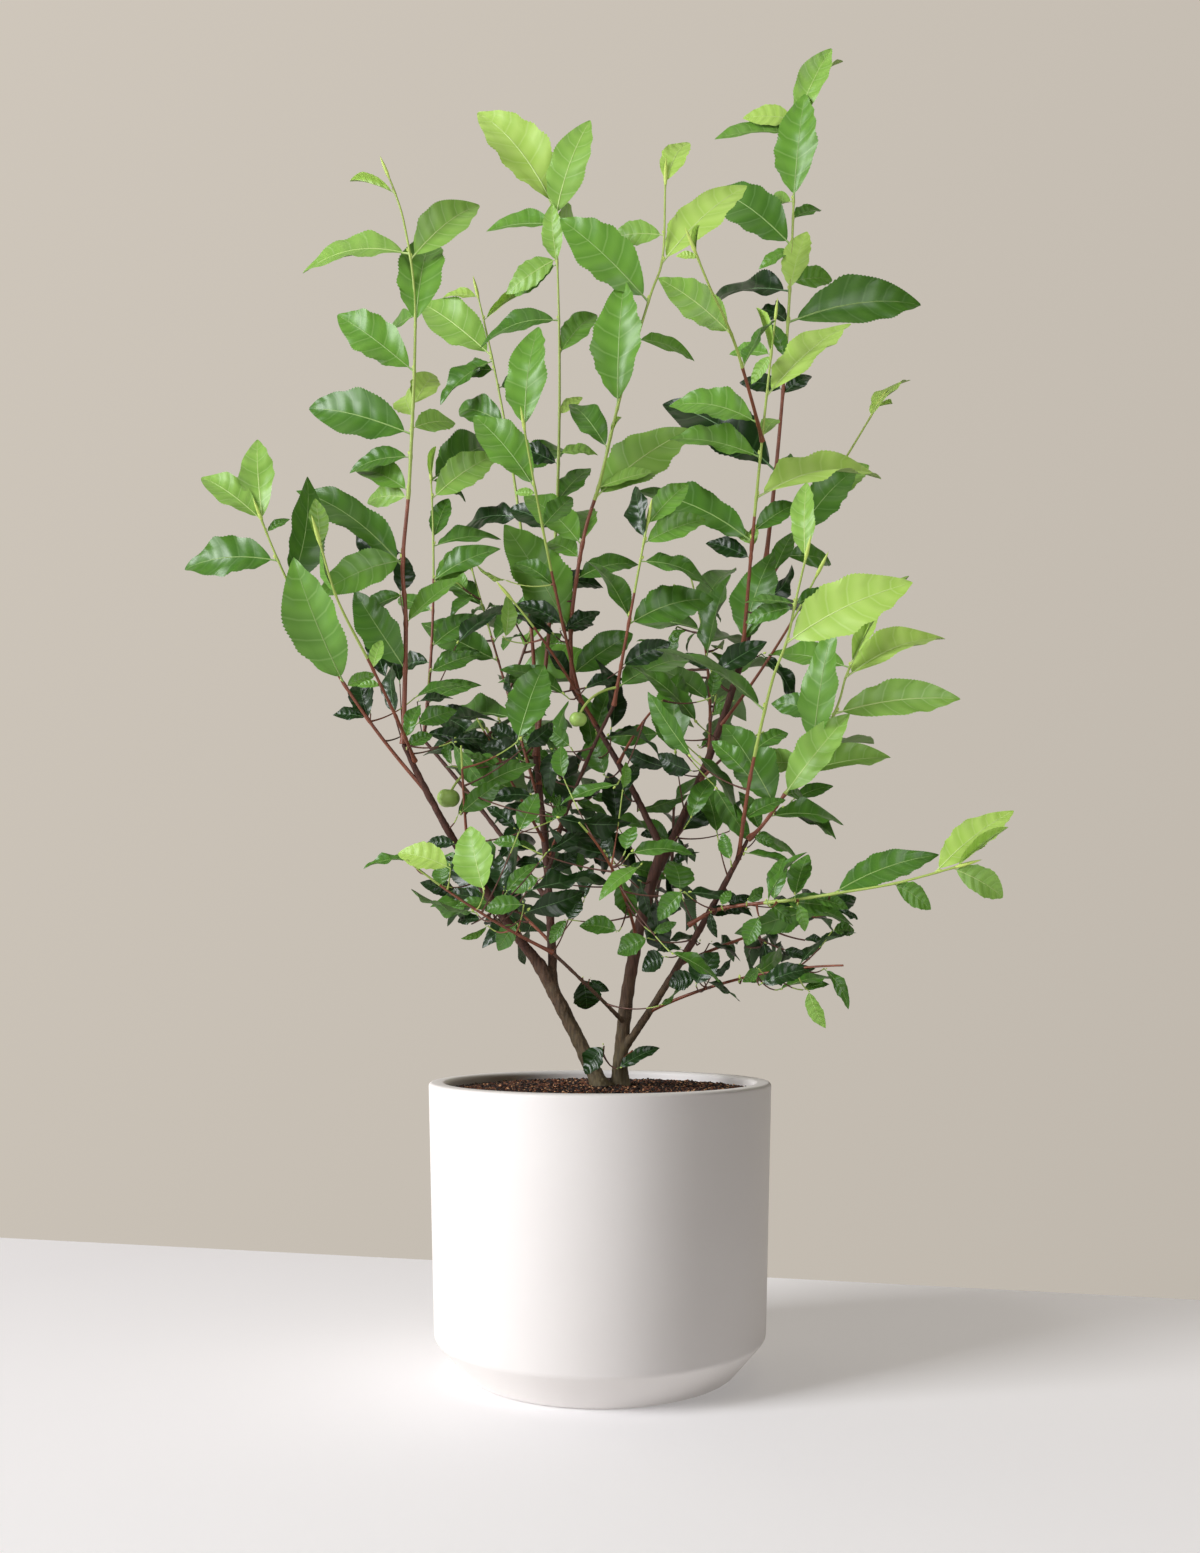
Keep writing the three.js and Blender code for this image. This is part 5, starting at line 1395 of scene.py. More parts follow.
# %% How a blade bends
NUMBERS = ("length", "width", "arch", "fold", "wave", "ripples", "phase", "twist", "hook", "sway")
WAYS = ("spot", "root", "way", "face", "side")
BEND = (                                   # what it gives, the operation, and what goes in
    ("bend", "MULTIPLY", "arch", "u"),
    ("sine", "SINE", "bend"),
    ("cosine", "COSINE", "bend"),
    ("aside", "ABSOLUTE", "x"),
    ("beat", "MULTIPLY_ADD", "u", "ripples", "phase"),
    ("beat", "MULTIPLY_ADD", "x", 5.0, "beat"),            # so the two halves ripple apart
    ("ripple", "SINE", "beat"),
    ("nibble", "MULTIPLY", "beat", 2.6),
    ("nibble", "SINE", "nibble"),
    ("nibble", "MULTIPLY_ADD", "nibble", 0.05, 1.0),       # the margin isn't quite even
    ("fold_sine", "SINE", "fold"),
    ("fold_cosine", "COSINE", "fold"),
    ("half", "MULTIPLY", "aside", "width"),
    ("lift", "MULTIPLY", "half", "fold_sine"),
    ("lift", "MULTIPLY_ADD", "z", "length", "lift"),
    ("ripple", "MULTIPLY", "ripple", "wave"),
    ("lift", "MULTIPLY_ADD", "ripple", "aside", "lift"),
    ("across", "MULTIPLY", "x", "width"),
    ("across", "MULTIPLY", "across", "fold_cosine"),
    ("across", "MULTIPLY", "across", "nibble"),
    ("turn", "MULTIPLY", "twist", "u"),
    ("turn_sine", "SINE", "turn"),
    ("turn_cosine", "COSINE", "turn"),
    ("sunk", "MULTIPLY", "lift", "turn_sine"),
    ("sunk", "MULTIPLY", "sunk", -1.0),
    ("sideways", "MULTIPLY_ADD", "across", "turn_cosine", "sunk"),
    ("raised", "MULTIPLY", "lift", "turn_cosine"),
    ("upward", "MULTIPLY_ADD", "across", "turn_sine", "raised"),
    ("u2", "MULTIPLY", "u", "u"),
    ("u3", "MULTIPLY", "u2", "u"),
    ("swayed", "MULTIPLY", "u2", "sway"),
    ("sideways", "MULTIPLY_ADD", "swayed", "length", "sideways"),
    ("hooked", "MULTIPLY", "u3", "hook"),
    ("run", "DIVIDE", "sine", "arch"),
    ("run", "ADD", "run", "stalk"),
    ("run", "MULTIPLY", "run", "length"),
    ("forth", "MULTIPLY_ADD", "sine", "upward", "run"),
    ("fall", "SUBTRACT", "cosine", 1.0),
    ("fall", "DIVIDE", "fall", "arch"),
    ("fall", "SUBTRACT", "fall", "hooked"),
    ("fall", "MULTIPLY", "fall", "length"),
    ("rise", "MULTIPLY_ADD", "cosine", "upward", "fall"),
)


def leaf_tree():
    tree, given = node_tree("grow_blades", Long="Object", Short="Object", ShortUnder="Float", Stalk="Float",
                            Upper="Material", Lower="Material")
    known = {"stalk": given.outputs["Stalk"]}
    for kind, names in (("FLOAT", NUMBERS), ("FLOAT_VECTOR", WAYS), ("BOOLEAN", ("under",))):
        for name in names:
            known[name] = add(tree, "GeometryNodeInputNamedAttribute", [name], data_type=kind)
    short = add(tree, "FunctionNodeCompare", [known["length"], given.outputs["ShortUnder"]],
                operation="LESS_THAN")
    longer = add(tree, "FunctionNodeBooleanMath", [short], operation="NOT")
    copies = add(tree, "GeometryNodeJoinGeometry")
    for label, chosen in (("Long", longer), ("Short", short)):
        blade = add(tree, "GeometryNodeObjectInfo", [given.outputs[label]])
        placed = add(tree, "GeometryNodeInstanceOnPoints", {
            "Points": given.outputs["Geometry"], "Selection": chosen, "Instance": blade.outputs["Geometry"]})
        tree.links.new(placed.outputs[0], copies.inputs[0])
    real = add(tree, "GeometryNodeRealizeInstances", [copies])

    spot = add(tree, "ShaderNodeSeparateXYZ", [known["spot"]])
    known.update(zip("uxz", spot.outputs))
    for name, operation, *parts in BEND:
        values = [known[part] if isinstance(part, str) else part for part in parts]
        known[name] = add(tree, "ShaderNodeMath", values, operation=operation)
    place = known["root"]
    for way, amount in (("way", "forth"), ("face", "rise"), ("side", "sideways")):
        place = add(tree, "ShaderNodeVectorMath", [known[way], known[amount], place],
                    operation="MULTIPLY_ADD")
    bent = add(tree, "GeometryNodeSetPosition", {"Geometry": real, "Position": place})
    top = add(tree, "GeometryNodeSetMaterial", {"Geometry": bent, "Material": given.outputs["Upper"]})
    both = add(tree, "GeometryNodeSetMaterial", {
        "Geometry": top, "Selection": known["under"], "Material": given.outputs["Lower"]})
    add(tree, "NodeGroupOutput", [both])
    return tree


grow_blades = leaf_tree()
print("a blade's point takes", len(BEND), "sums")

# %% [markdown]
# ## Leaf finishes
# A tea leaf is waxed above and dull below. Age sets its green: new flushes are yellow-green and thin enough
# to glow, grown leaves are fresh green, and those in the heart are deep and bluish, their greens partly
# darkened as painted shade of the heart. The colours are plain for each age, so each leaf keeps its tint
# wherever it is used, with a slight drift inside the blade. The veins are drawn from the blade's own map,
# where they are straight lines: a thin paler line in a groove darkened by painted shade, with a painted
# highlight on the bulging skin between.

# %% Tea leaf
VEINS = dict(pairs=6.0, line=0.07, depth=0.42, ridge=0.4,  # a side, share of the gap, mm above, mm below
             pale=0.3)                     # the most of the vein's own colour that shows
SKIN = dict(grain=0.9, drift=22, rough=0.01)               # mm, mm, share of the relief
# bulge: painted light, how much lighter the green is painted on the bulges between the veins than in the
# shaded grooves
TINT_AND_PAINTED_LIGHT = dict(start=-0.06, drift=0.5, bulge=0.32)            # what makes up the share of the lighter green
SHADE = 0.8                                # the darker spots of the under side
# the groove colour holds painted shade, and the bulge colour a painted highlight
AGES = {                                   # groove, bulge, vein, under side, roughness, glow
    "flush": ("#a4cb50", "#c9e580", "#d6e8a0", "#bcd684", 0.42, 0.28),
    "young": ("#80b045", "#a4cc64", "#c4dd95", "#aecb7c", 0.40, 0.24),
    "grown": ("#578a2a", "#7cad44", "#a6c677", "#90b06a", 0.38, 0.18),
    # mature and old greens are partly painted shade: darker than their age alone makes them, as the heart
    # lies in shade
    "mature": ("#3e6b1f", "#5b8a2f", "#7ba05b", "#6d8c52", 0.35, 0.12),
    "old": ("#132d0a", "#213f15", "#4f7340", "#4c6a3e", 0.32, 0.06),
}


def vein_gap(tree, place):
    """How far a point of a blade is from the nearest side vein: 0 on it, 0.5 between two."""
    spot = add(tree, "ShaderNodeSeparateXYZ", [place.node.outputs["UV"]])
    cell = add(tree, "ShaderNodeMath", [spot.outputs["X"], VEINS["pairs"]], operation="MULTIPLY")
    return add(tree, "ShaderNodeMath", [cell, 0.5], operation="PINGPONG")


def waxed_leaf(age, shaded_groove, bulge, vein, rough, glow):
    """The upper skin of a tea leaf: a clear wax over green, with sunk veins, painted shade in their grooves
    and a painted highlight on the bulges between.
    """
    made, tree, place = material(f"waxed_leaf_{age}")
    drift = add(tree, "ShaderNodeTexNoise", {
        "Vector": place, "Scale": 1 / (SKIN["drift"] * MM), "Detail": 1.0})
    skin = add(tree, "ShaderNodeTexNoise", {
        "Vector": place, "Scale": 1 / (SKIN["grain"] * MM)})
    gap = vein_gap(tree, place)
    round_gap = add(tree, "ShaderNodeMapRange", [gap, 0.0, 0.5, 0.0, 1.0], interpolation_type="SMOOTHSTEP")
    line = add(tree, "ShaderNodeMapRange", [gap, 0.0, VEINS["line"], VEINS["pale"], 0.0],
               interpolation_type="SMOOTHSTEP")
    share = add(tree, "ShaderNodeMath", [drift, TINT_AND_PAINTED_LIGHT["drift"], TINT_AND_PAINTED_LIGHT["start"]], operation="MULTIPLY_ADD")
    # painted light and shade: the green is lighter on the bulges and darker in the grooves between the veins
    share = add(tree, "ShaderNodeMath", [round_gap, TINT_AND_PAINTED_LIGHT["bulge"], share], operation="MULTIPLY_ADD",
                use_clamp=True)
    green = add(tree, "ShaderNodeMix", {"Factor": share, 6: linear(shaded_groove), 7: linear(bulge)},
                data_type="RGBA")
    tint = add(tree, "ShaderNodeMix", {"Factor": line, 6: green.outputs[2], 7: linear(vein)},
               data_type="RGBA")
    relief = add(tree, "ShaderNodeMath", [skin, SKIN["rough"], round_gap], operation="MULTIPLY_ADD")
    bump = add(tree, "ShaderNodeBump", {"Height": relief, "Distance": VEINS["depth"] * MM, "Strength": 0.8})
    wax = add(tree, "ShaderNodeBsdfPrincipled", {
        "Base Color": tint.outputs[2], "Roughness": rough, "IOR": 1.46, "Normal": bump})
    light_through = add(tree, "ShaderNodeBsdfTranslucent", [tint.outputs[2]])
    look = add(tree, "ShaderNodeMixShader", [glow, wax, light_through])
    add(tree, "ShaderNodeOutputMaterial", [look])
    return made


def dull_leaf(age, under, glow):
    """The under side of a tea leaf: no wax, paler, finely matt, with the side veins standing out."""
    made, tree, place = material(f"dull_leaf_{age}")
    drift = add(tree, "ShaderNodeTexNoise", {
        "Vector": place, "Scale": 1 / (SKIN["drift"] * MM), "Detail": 3.0})
    gap = vein_gap(tree, place)
    ridge = add(tree, "ShaderNodeMapRange", [gap, 0.0, 2 * VEINS["line"], 1.0, 0.0],
                interpolation_type="SMOOTHSTEP")
    shade = [c * SHADE for c in linear(under)[:3]] + [1.0]
    tint = add(tree, "ShaderNodeMix", {"Factor": drift, 6: shade, 7: linear(under)}, data_type="RGBA")
    bump = add(tree, "ShaderNodeBump", {"Height": ridge, "Distance": VEINS["ridge"] * MM, "Strength": 0.7})
    dull = add(tree, "ShaderNodeBsdfPrincipled", {
        "Base Color": tint.outputs[2], "Roughness": 0.62, "Normal": bump})
    light_through = add(tree, "ShaderNodeBsdfTranslucent", [tint.outputs[2]])
    look = add(tree, "ShaderNodeMixShader", [glow, dull, light_through])
    add(tree, "ShaderNodeOutputMaterial", [look])
    return made


# %% [markdown]
# ## Dealing out ages
# The newest leaf at a tip is always paler than the shoot below it, and a shoot in the heart of the bush is
# darker than one on top: its leaves are older, and their greens are also darkened as painted shade, as the
# heart lies in shade. The row of a listed leaf says how fresh it is. Any other leaf's age comes from its
# shoot's freshness, its place on the stem and a small draw. The same cell gives each blade its ripple and its
# twist. The newest leaf of a shoot is still rolled.

# %% Ages, ripples and twists
STEPS = (("old", 0.23), ("mature", 0.43), ("grown", 0.6), ("young", 0.8), ("flush", 9))
TIP_GAIN = dict(most=0.3, leaves=5, power=1.5, grows=2)    # how much paler the newest leaves are
SCATTER = 0.16                             # width of the draw
LIVELY = dict(wave=(0.03, 0.1), hook=(0.0, 0.2), sway=(-0.08, 0.08),           # of the length
              ripples=(7, 15), twist=(-0.6, 0.6))          # radians
CRISP = (2.0, 0.7)                         # how lively a leaf of the heart is, and one of a fresh shoot
TAME = 0.5                                 # how fresh a shoot is whose leaves are as calm as they get
GROWING = 0.3                              # a shoot fresher than this has a rolled leaf and a bud
CALM = 0.5                                 # a listed leaf twists less
DROOP = 0.16                               # how far a listed leaf sways down of itself

draw = draws(77)
for one in leaves:
    fresh = one.fresh
    if not one.by_hand:
        newness = max(0, 1 - one.young / TIP_GAIN["leaves"]) ** TIP_GAIN["power"]
        gain = TIP_GAIN["most"] * newness * min(1, TIP_GAIN["grows"] * fresh)
        fresh += gain + SCATTER * (draw() - 0.5)
    one.age = next(age for age, top in STEPS if fresh < top)
    crisp = lerp(*CRISP, min(1, one.fresh / TAME))
    one.ripples = lerp(*LIVELY["ripples"], draw())
    one.phase = 2 * math.pi * draw()
    one.wave, one.twist, one.hook, one.sway = [
        crisp * lerp(*LIVELY[name], draw()) for name in ("wave", "twist", "hook", "sway")]
    one.wave *= one.length
    if one.by_hand:
        one.twist *= CALM
        one.sway -= DROOP * one.side[2] * draw()
    elif one.young == 0 and one.fresh > GROWING:
        one.fold = ROLLED["fold"]
        one.width *= ROLLED["width"]

SIZES = ("length", "width", "wave")
for age, (shaded_groove, bulge, vein, under, rough, glow) in AGES.items():
    mine = [one for one in leaves if one.age == age]
    piece = shaped(f"leaves_{age}", [one.root for one in mine])
    carry(piece, root=[one.root * MM for one in mine],
          **{name: [getattr(one, name) for one in mine] for name in ("way", "face", "side")},
          **{name: [getattr(one, name) * (MM if name in SIZES else 1) for one in mine] for name in NUMBERS})
    bake(piece, grow_blades, Long=long_blade, Short=short_blade, ShortUnder=BLADES["short_under"] * MM,
         Stalk=STALK, Upper=waxed_leaf(age, shaded_groove, bulge, vein, rough, glow),
         Lower=dull_leaf(age, under, glow))
    print(len(mine), age, "leaves")
    settle_in(piece, "foliage", *(SHOOTS if age == "grown" else ()))
for pattern in (long_blade, short_blade):
    bpy.data.objects.remove(pattern)

# %% [markdown]
# ## Stalks, midribs and stems
# All of these are thin rods along a path, so one tree makes them: a polyline with a radius at each point
# becomes a curve, and a circle is swept along it. Stems are thicker at each node, where a leaf is set, and at
# their foot. Wood is brown, last season's growth is red-brown, and this season's is green.

# %% Tree of the rods
def rod_tree():
    tree, given = node_tree("sweep_rods", Sides="Int", Finish="Material")
    girth = add(tree, "GeometryNodeInputNamedAttribute", ["girth"], data_type="FLOAT")
    curve = add(tree, "GeometryNodeMeshToCurve", [given.outputs["Geometry"]])
    section = add(tree, "GeometryNodeCurvePrimitiveCircle", {"Resolution": given.outputs["Sides"],
                                                             "Radius": 1.0})
    swept = add(tree, "GeometryNodeCurveToMesh", {"Curve": curve, "Profile Curve": section, "Scale": girth,
                                                  "Fill Caps": True})
    return ended(tree, given, swept)


sweep_rods = rod_tree()


def rods(name, lines, sides, finish):
    """One piece of many rods; a line is a list of (point, radius) in millimetres."""
    points, girths, edges = [], [], []
    for line in lines:
        start = len(points)
        points += [spot for spot, _ in line]
        girths += [radius * MM for _, radius in line]
        edges += [(i, i + 1) for i in range(start, len(points) - 1)]
    piece = shaped(name, points, edges=edges)
    carry(piece, girth=girths)
    return bake(piece, sweep_rods, Sides=sides, Finish=finish)


# %% [markdown]
# A stalk runs on into the midrib. Together they are one pale rod that starts in the stem, stands a little
# proud of the blade on both sides and thins out just before the tip.

# %% Stalks and midribs
RIB = dict(foot=0.0115, blade=0.0085, tip=0.0025, most=0.95, end=0.94, steps=7)   # radii, of the length
RIBS = {"ribs_pale": (("flush", "young"), "#c2d68d", "#a9c46b"),
        "ribs_green": (("grown", "mature"), "#94b266", "#78994f"),
        "ribs_dark": (("old",), "#5f8350", "#46683a")}


def soft_green(name, light, dark, grain=7, rough=0.45):
    """The skin of a stalk or a green stem: smooth and a little waxy."""
    made, tree, place = material(name)
    tint = mottled(tree, place, grain, dark, light, 2.0)[1]
    look = add(tree, "ShaderNodeBsdfPrincipled", {"Base Color": tint, "Roughness": rough})
    add(tree, "ShaderNodeOutputMaterial", [look])
    return made


def rib_line(one):
    """A leaf's stalk and midrib."""
    line = [(one.root, min(RIB["most"], RIB["foot"] * one.length))]
    for u in np.linspace(0, RIB["end"], RIB["steps"]):
        middle, up = along(one, u)
        middle = middle + (one.side * one.sway * u ** 2 - one.face * one.hook * u ** 3) * one.length
        radius = min(RIB["most"], one.length * lerp(RIB["blade"], RIB["tip"], u))
        line.append((middle + up * QUILT["middle"] * one.length, radius))
    return line


for name, (ages, light, dark) in RIBS.items():
    lines = [rib_line(one) for one in leaves if one.age in ages]
    settle_in(rods(name, lines, 5, soft_green(name.replace("ribs", "leaf_rib"), light, dark)), "foliage")

# %% [markdown]
# Stems follow the same paths as their leaves. The share that has turned red-brown is larger on a shoot of the
# heart than on a fresh one, and old side twigs have gone on to a duller brown.

# %% Stems
NODE = dict(swell=0.28, reach=1.7)         # at each leaf: what it adds, and how far it runs, in mm
FOOT = dict(swell=0.55, reach=4.5)         # the same at the foot of a stem
TAPER = 0.8                                # under 1, a stem thins sooner near its foot
SHOOT_GIRTH = dict(foot=1.15, gain=0.0019, tip=0.72)       # radii in mm, and what a mm of length adds
RED = dict(least=0.06, most=1.15, less=1.25)               # the brown share of a stem by its freshness
DIM = 0.42                                 # side twigs less fresh than this are of the duller brown
TWIG_BARKS = {"red_brown_twig": ("#4f2618", "#8f4f34"), "brown_twig": ("#321c13", "#6b4030")}
CAPSULE_STALK = (0.7, 1.0)                 # radii in mm at its foot and at the capsule
TWIG_SKIN = dict(drift=11, fleck=2.2, relief=0.2)          # mm
FLECK = (0.12, 0.22, 0.5, 0.0)             # a fleck's core and edge, and how much of it shows at each


def stem_line(path, girth, nodes, low=0.0, high=1.0, step=3.0):
    """A stretch of a stem with its swellings."""
    line = []
    for t in np.linspace(low, high, max(3, int(path.length * (high - low) / step))):
        radius = lerp(*girth, t ** TAPER)
        radius *= 1 + FOOT["swell"] * math.exp(-t * path.length / FOOT["reach"])
        radius *= 1 + NODE["swell"] * sum(math.exp(-((t - at) * path.length / NODE["reach"]) ** 2)
                                          for at in nodes)
        line.append((path.point(t), radius))
    return line


red, brown, green = [], [], []
for stem in stems:
    nodes = [one.at for one in leaves if one.stem is stem]
    girth = stem.girth
    if stem.bearer is None:
        girth = (SHOOT_GIRTH["foot"] + SHOOT_GIRTH["gain"] * stem.path.length, SHOOT_GIRTH["tip"])
    share = min(1, max(RED["least"], RED["most"] - RED["less"] * stem.fresh))
    woody = brown if stem.bearer and stem.fresh < DIM else red
    woody.append(stem_line(stem.path, girth, nodes, 0, share))
    if share < 1:
        green.append(stem_line(stem.path, girth, nodes, share, 1))
for each in shoots:
    if each.fruit:
        green.append(stem_line(each.fruit.path, CAPSULE_STALK, []))


def twig_bark(name, dark, light):
    """Last season's tea twig: thin smooth bark with paler, corky flecks."""
    made, tree, place = material(name)
    tint = mottled(tree, place, TWIG_SKIN["drift"], dark, light)[1]
    fleck = add(tree, "ShaderNodeTexVoronoi", {"Vector": place, "Scale": 1 / (TWIG_SKIN["fleck"] * MM)})
    corky = add(tree, "ShaderNodeMapRange", [fleck, *FLECK])
    both = add(tree, "ShaderNodeMix", {"Factor": corky, 6: tint, 7: linear("#a87c5d")},
               data_type="RGBA")
    bump = add(tree, "ShaderNodeBump", {
        "Height": corky, "Distance": TWIG_SKIN["relief"] * MM, "Strength": 0.5})
    look = add(tree, "ShaderNodeBsdfPrincipled", {
        "Base Color": both.outputs[2], "Roughness": 0.5, "Normal": bump})
    add(tree, "ShaderNodeOutputMaterial", [look])
    return made


for name, lines in (("red_brown_twig", red), ("brown_twig", brown)):
    settle_in(rods(f"stems_{name}", lines, 7, twig_bark(name, *TWIG_BARKS[name])), "bark")
settle_in(rods("stems_green", green, 7, soft_green("green_stem", "#a7bb5e", "#84993f", 16)), "foliage")

# %% [markdown]
# ## Buds
# A fresh shoot ends in a slender, silky bud, the one that pickers take with two leaves, and a small plump bud
# sits in the axil of each leaf. Both are one spindle of few faces, set on points by a tree, turned along each
# point's direction and stretched by its scale.

# %% Buds
SPINDLE = ((0.0, 0.3), (0.25, 0.5), (0.6, 0.42), (0.85, 0.2))   # height and radius, of the length
BUD = dict(tip=(15, 21), sunk=0.6, axil=(2.4, 3.6), up=1.4, out=0.8, full=50,  # mm
           slim=0.15, plump=0.62, lean=0.35)               # widths of the length, and a share


def bud_tree():
    tree, given = node_tree("set_buds", Bud="Object", Finish="Material")
    way = add(tree, "GeometryNodeInputNamedAttribute", ["way"], data_type="FLOAT_VECTOR")
    size = add(tree, "GeometryNodeInputNamedAttribute", ["size"], data_type="FLOAT_VECTOR")
    turn = add(tree, "FunctionNodeAlignRotationToVector", {"Vector": way}, axis="Z")
    bud = add(tree, "GeometryNodeObjectInfo", [given.outputs["Bud"]])
    placed = add(tree, "GeometryNodeInstanceOnPoints", {
        "Points": given.outputs["Geometry"], "Instance": bud.outputs["Geometry"], "Rotation": turn,
        "Scale": size})
    return ended(tree, given, placed)


def skinned(rings, start, end):
    """Points and faces of a closed body through rings of equal counts, from a start point to an end point."""
    n = len(rings[0])
    points = [start] + [p for ring in rings for p in ring] + [end]
    faces = []
    for k in range(n):
        after = (k + 1) % n
        faces.append((0, 1 + after, 1 + k))
        for i in range(1, 1 + (len(rings) - 1) * n, n):
            faces.append((i + k, i + after, i + n + after, i + n + k))
        last = len(points) - 1
        faces.append((last - n + k, last - n + after, last))
    return points, faces


turns = [2 * math.pi * k / 6 for k in range(6)]
rings = [[(r * math.cos(a), r * math.sin(a), h) for a in turns] for h, r in SPINDLE]
points, faces = skinned(rings, (0, 0, -0.05), (0, 0, 1))
spindle = shaped("spindle", np.array(points) / MM, faces)
draw = draws(78)
places, ways, sizes = [], [], []
for stem in stems:
    if stem.bearer is None and stem.fresh > GROWING:
        length = lerp(*BUD["tip"], draw())
        places.append(stem.path.point(1) - stem.path.way(1) * BUD["sunk"])
        ways.append(stem.path.way(1))
        sizes.append((BUD["slim"] * length * MM, BUD["slim"] * length * MM, length * MM))
for one in leaves:
    length = lerp(*BUD["axil"], draw()) * min(1, one.length / BUD["full"])
    places.append(one.root + one.axis * BUD["up"] + one.way * BUD["out"])
    ways.append(unit(one.axis + BUD["lean"] * one.way))
    sizes.append((BUD["plump"] * length * MM, BUD["plump"] * length * MM, length * MM))
buds = shaped("buds", places)
carry(buds, way=ways, size=sizes)
bake(buds, bud_tree(), Bud=spindle, Finish=soft_green("silky_bud", "#c3d470", "#a6bf4e", 5, 0.5))
settle_in(buds, "foliage")
bpy.data.objects.remove(spindle)

# %% [markdown]
# ## Fruits
# A tea capsule is a flattened ball with three soft lobes, one for each seed, and a small dimple at either
# end. It is made as rings round its own axis, with the lobes as a wave round each ring.

# %% Capsules
LOBES = dict(count=3, depth=0.07, dimple=0.16, dip=0.4, rings=16, sides=36)   # depths of the radius


def capsule(spot, radius):
    rings = []
    for i in range(1, LOBES["rings"]):
        tilt = math.pi * i / LOBES["rings"]
        pole = min(tilt, math.pi - tilt)
        flat = FLAT * (1 - LOBES["dimple"] * math.exp(-(pole / LOBES["dip"]) ** 2))
        ring = []
        for k in range(LOBES["sides"]):
            turn = 2 * math.pi * k / LOBES["sides"]
            r = radius * (1 + LOBES["depth"] * math.cos(LOBES["count"] * turn) * math.sin(tilt))
            ring.append(spot + np.array([r * math.sin(tilt) * math.cos(turn),
                                         r * math.sin(tilt) * math.sin(turn), -r * flat * math.cos(tilt)]))
        rings.append(ring)
    end = radius * FLAT * (1 - LOBES["dimple"])
    return skinned(rings, spot - (0, 0, end), spot + (0, 0, end))


points, faces = [], []
for each in shoots:
    if each.fruit:
        more, sides = capsule(each.fruit.centre, each.fruit.radius)
        faces += [[i + len(points) for i in side] for side in sides]
        points += more
fruits = shaped("fruits", points, faces)
fruits.data.materials.append(soft_green("green_capsule", "#a3bf62", "#7c9f48", 6, 0.42))
settle_in(fruits, "foliage")

# %% [markdown]
# ## Bark
# The limbs are swept as rods with swollen feet and joined. Rods that merely cross look like pipes, so a voxel
# remesh melts them into one skin, and smoothing rounds the forks. Then each point moves along its normal by
# noise that is stretched upwards, as the limbs run: young tea bark is smooth but for shallow lengthwise
# furrows and the lumps of old leaf scars. How deep that goes depends on the limb's own thickness.

# %% One skin for all limbs
COLLAR = dict(reach=7, root=0.5, bough=0.3)                # mm, and shares of the radius
THIN = 0.8                                 # from here on a limb thins to the stem that it bears at its tip
SUNK = dict(deep=7, wide=1.6)              # a stem's foot in the mix: mm, and share of its girth
BARK = dict(step=3, voxel=0.75, furrow=(1.5, 9.0), lump=7.0,          # mm
            furrow_depth=0.1, lump_depth=0.14, rounds=4)              # of the radius; of smoothing

tips = {}
for each in shoots:
    bearer, at = each.row.on
    if at == 1:
        tips[bearer] = SHOOT_GIRTH["foot"] + SHOOT_GIRTH["gain"] * each.main.path.length
lines = []
skeleton = []
for name, limb in LIMBS.items():
    path = paths[name]
    line = []
    if "foot" in limb:
        line.append((path.point(0) - (0, 0, SUNK["deep"]), SUNK["wide"] * limb["girth"][0]))
    for t in np.linspace(0, 1, int(path.length / BARK["step"])):
        swell = COLLAR["root" if "foot" in limb else "bough"]
        radius = lerp(*limb["girth"], t) * (1 + swell * math.exp(-t * path.length / COLLAR["reach"]))
        if name in tips:
            radius = lerp(radius, tips[name], min(1, max(0, (t - THIN) / (1 - THIN))) ** 2)
        line.append((path.point(t), radius))
    lines.append(line)
    skeleton += line
bark = rods("bark", lines, 14, None)
melt = bark.modifiers.new("melt", "REMESH")
melt.mode = "VOXEL"
melt.voxel_size = BARK["voxel"] * MM
soften = bark.modifiers.new("soften", "SMOOTH")
soften.iterations = BARK["rounds"]
bpy.context.view_layer.update()
skin = bpy.data.meshes.new_from_object(bark.evaluated_get(bpy.context.evaluated_depsgraph_get()))
bark.modifiers.clear()
bark.data = skin

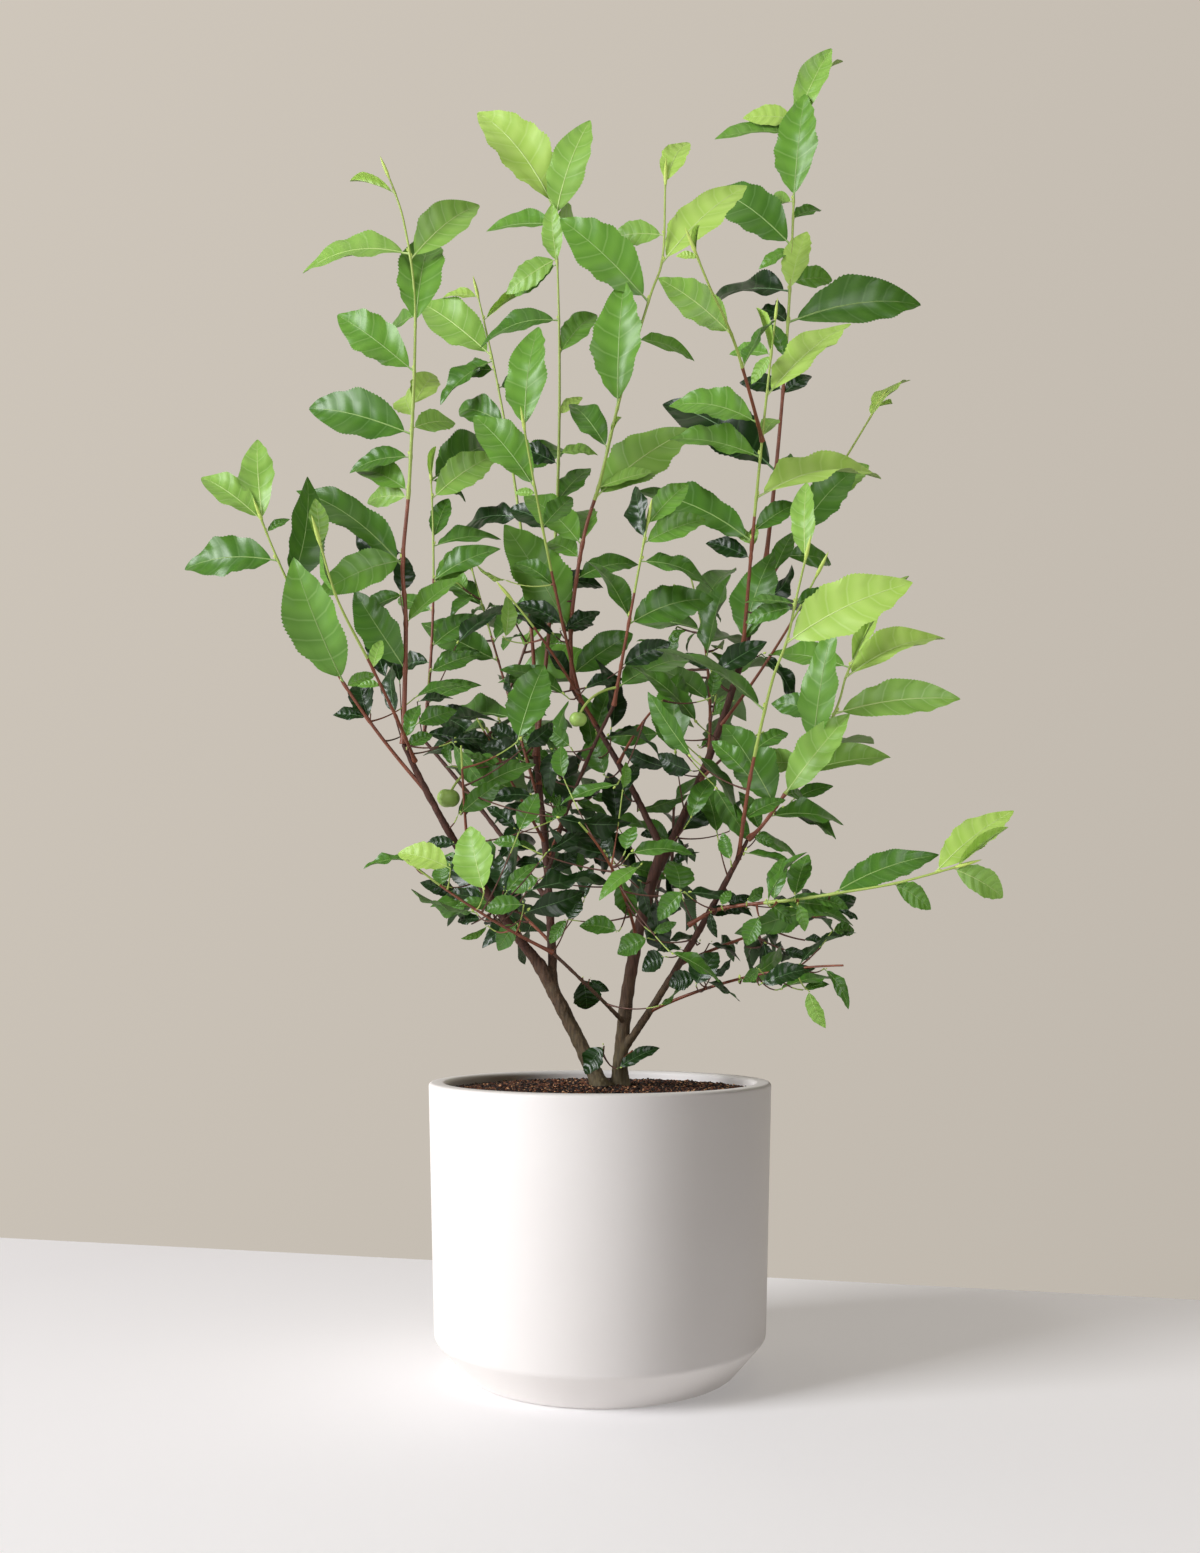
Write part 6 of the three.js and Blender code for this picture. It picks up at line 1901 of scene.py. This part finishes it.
nearest = KDTree(len(skeleton))
for i, (spot, radius) in enumerate(skeleton):
    nearest.insert(spot, i)
nearest.balance()
normals = [vertex.normal.copy() for vertex in skin.vertices]
for vertex, normal in zip(skin.vertices, normals):
    spot = vertex.co / MM
    radius = skeleton[nearest.find(spot)[1]][1]
    across, down = BARK["furrow"]
    furrow = noise.noise(Vector((spot.x / across, spot.y / across, spot.z / down)))
    lump = noise.noise(spot / BARK["lump"])
    vertex.co += normal * radius * MM * (BARK["furrow_depth"] * furrow + BARK["lump_depth"] * lump)
skin.shade_smooth()

# %% [markdown]
# The bark's colour changes with age: olive-brown and dull on the oldest wood at the foot, and red-brown where
# the limbs are younger. The mix goes by height, and noise blurs its border. The furrows are darker than what
# stands between them.

# %% Bark finish
HEIGHTS = (215, 330)                       # where the bark starts to redden and where it has, in mm
BLUR = dict(size=16, reach=0.12)           # blotches in mm, and how far they shift that border, in m
STREAK = dict(width=1.8, along=0.2, depth=0.35)            # mm, stretch, mm


def tea_bark():
    """Bark of a young tea bush: thin, dry, matt, finely furrowed."""
    made, tree, place = material("tea_bark")
    height = add(tree, "ShaderNodeSeparateXYZ", [place])
    blotch = add(tree, "ShaderNodeTexNoise", {
        "Vector": place, "Scale": 1 / (BLUR["size"] * MM), "Detail": 3.0})
    shift = add(tree, "ShaderNodeMath", [blotch, BLUR["reach"], height.outputs["Z"]],
                operation="MULTIPLY_ADD")
    border = [h * MM + BLUR["reach"] / 2 for h in HEIGHTS]
    red_share = add(tree, "ShaderNodeMapRange", [shift, *border])
    long_way = add(tree, "ShaderNodeMapping", {"Vector": place, "Scale": (1, 1, STREAK["along"])})
    streak, old = mottled(tree, long_way, STREAK["width"], "#16110b", "#6f6140")
    young = add(tree, "ShaderNodeMix", {"Factor": streak, 6: linear("#120806"), 7: linear("#5e3524")},
                data_type="RGBA")
    tint = add(tree, "ShaderNodeMix", {"Factor": red_share, 6: old, 7: young.outputs[2]},
               data_type="RGBA")
    bump = add(tree, "ShaderNodeBump", {"Height": streak, "Distance": STREAK["depth"] * MM, "Strength": 0.8})
    look = add(tree, "ShaderNodeBsdfPrincipled", {
        "Base Color": tint.outputs[2], "Roughness": 0.78, "Normal": bump})
    add(tree, "ShaderNodeOutputMaterial", [look])
    return made


skin.materials.clear()
skin.materials.append(tea_bark())
settle_in(bark, "bark", *LIMBS)
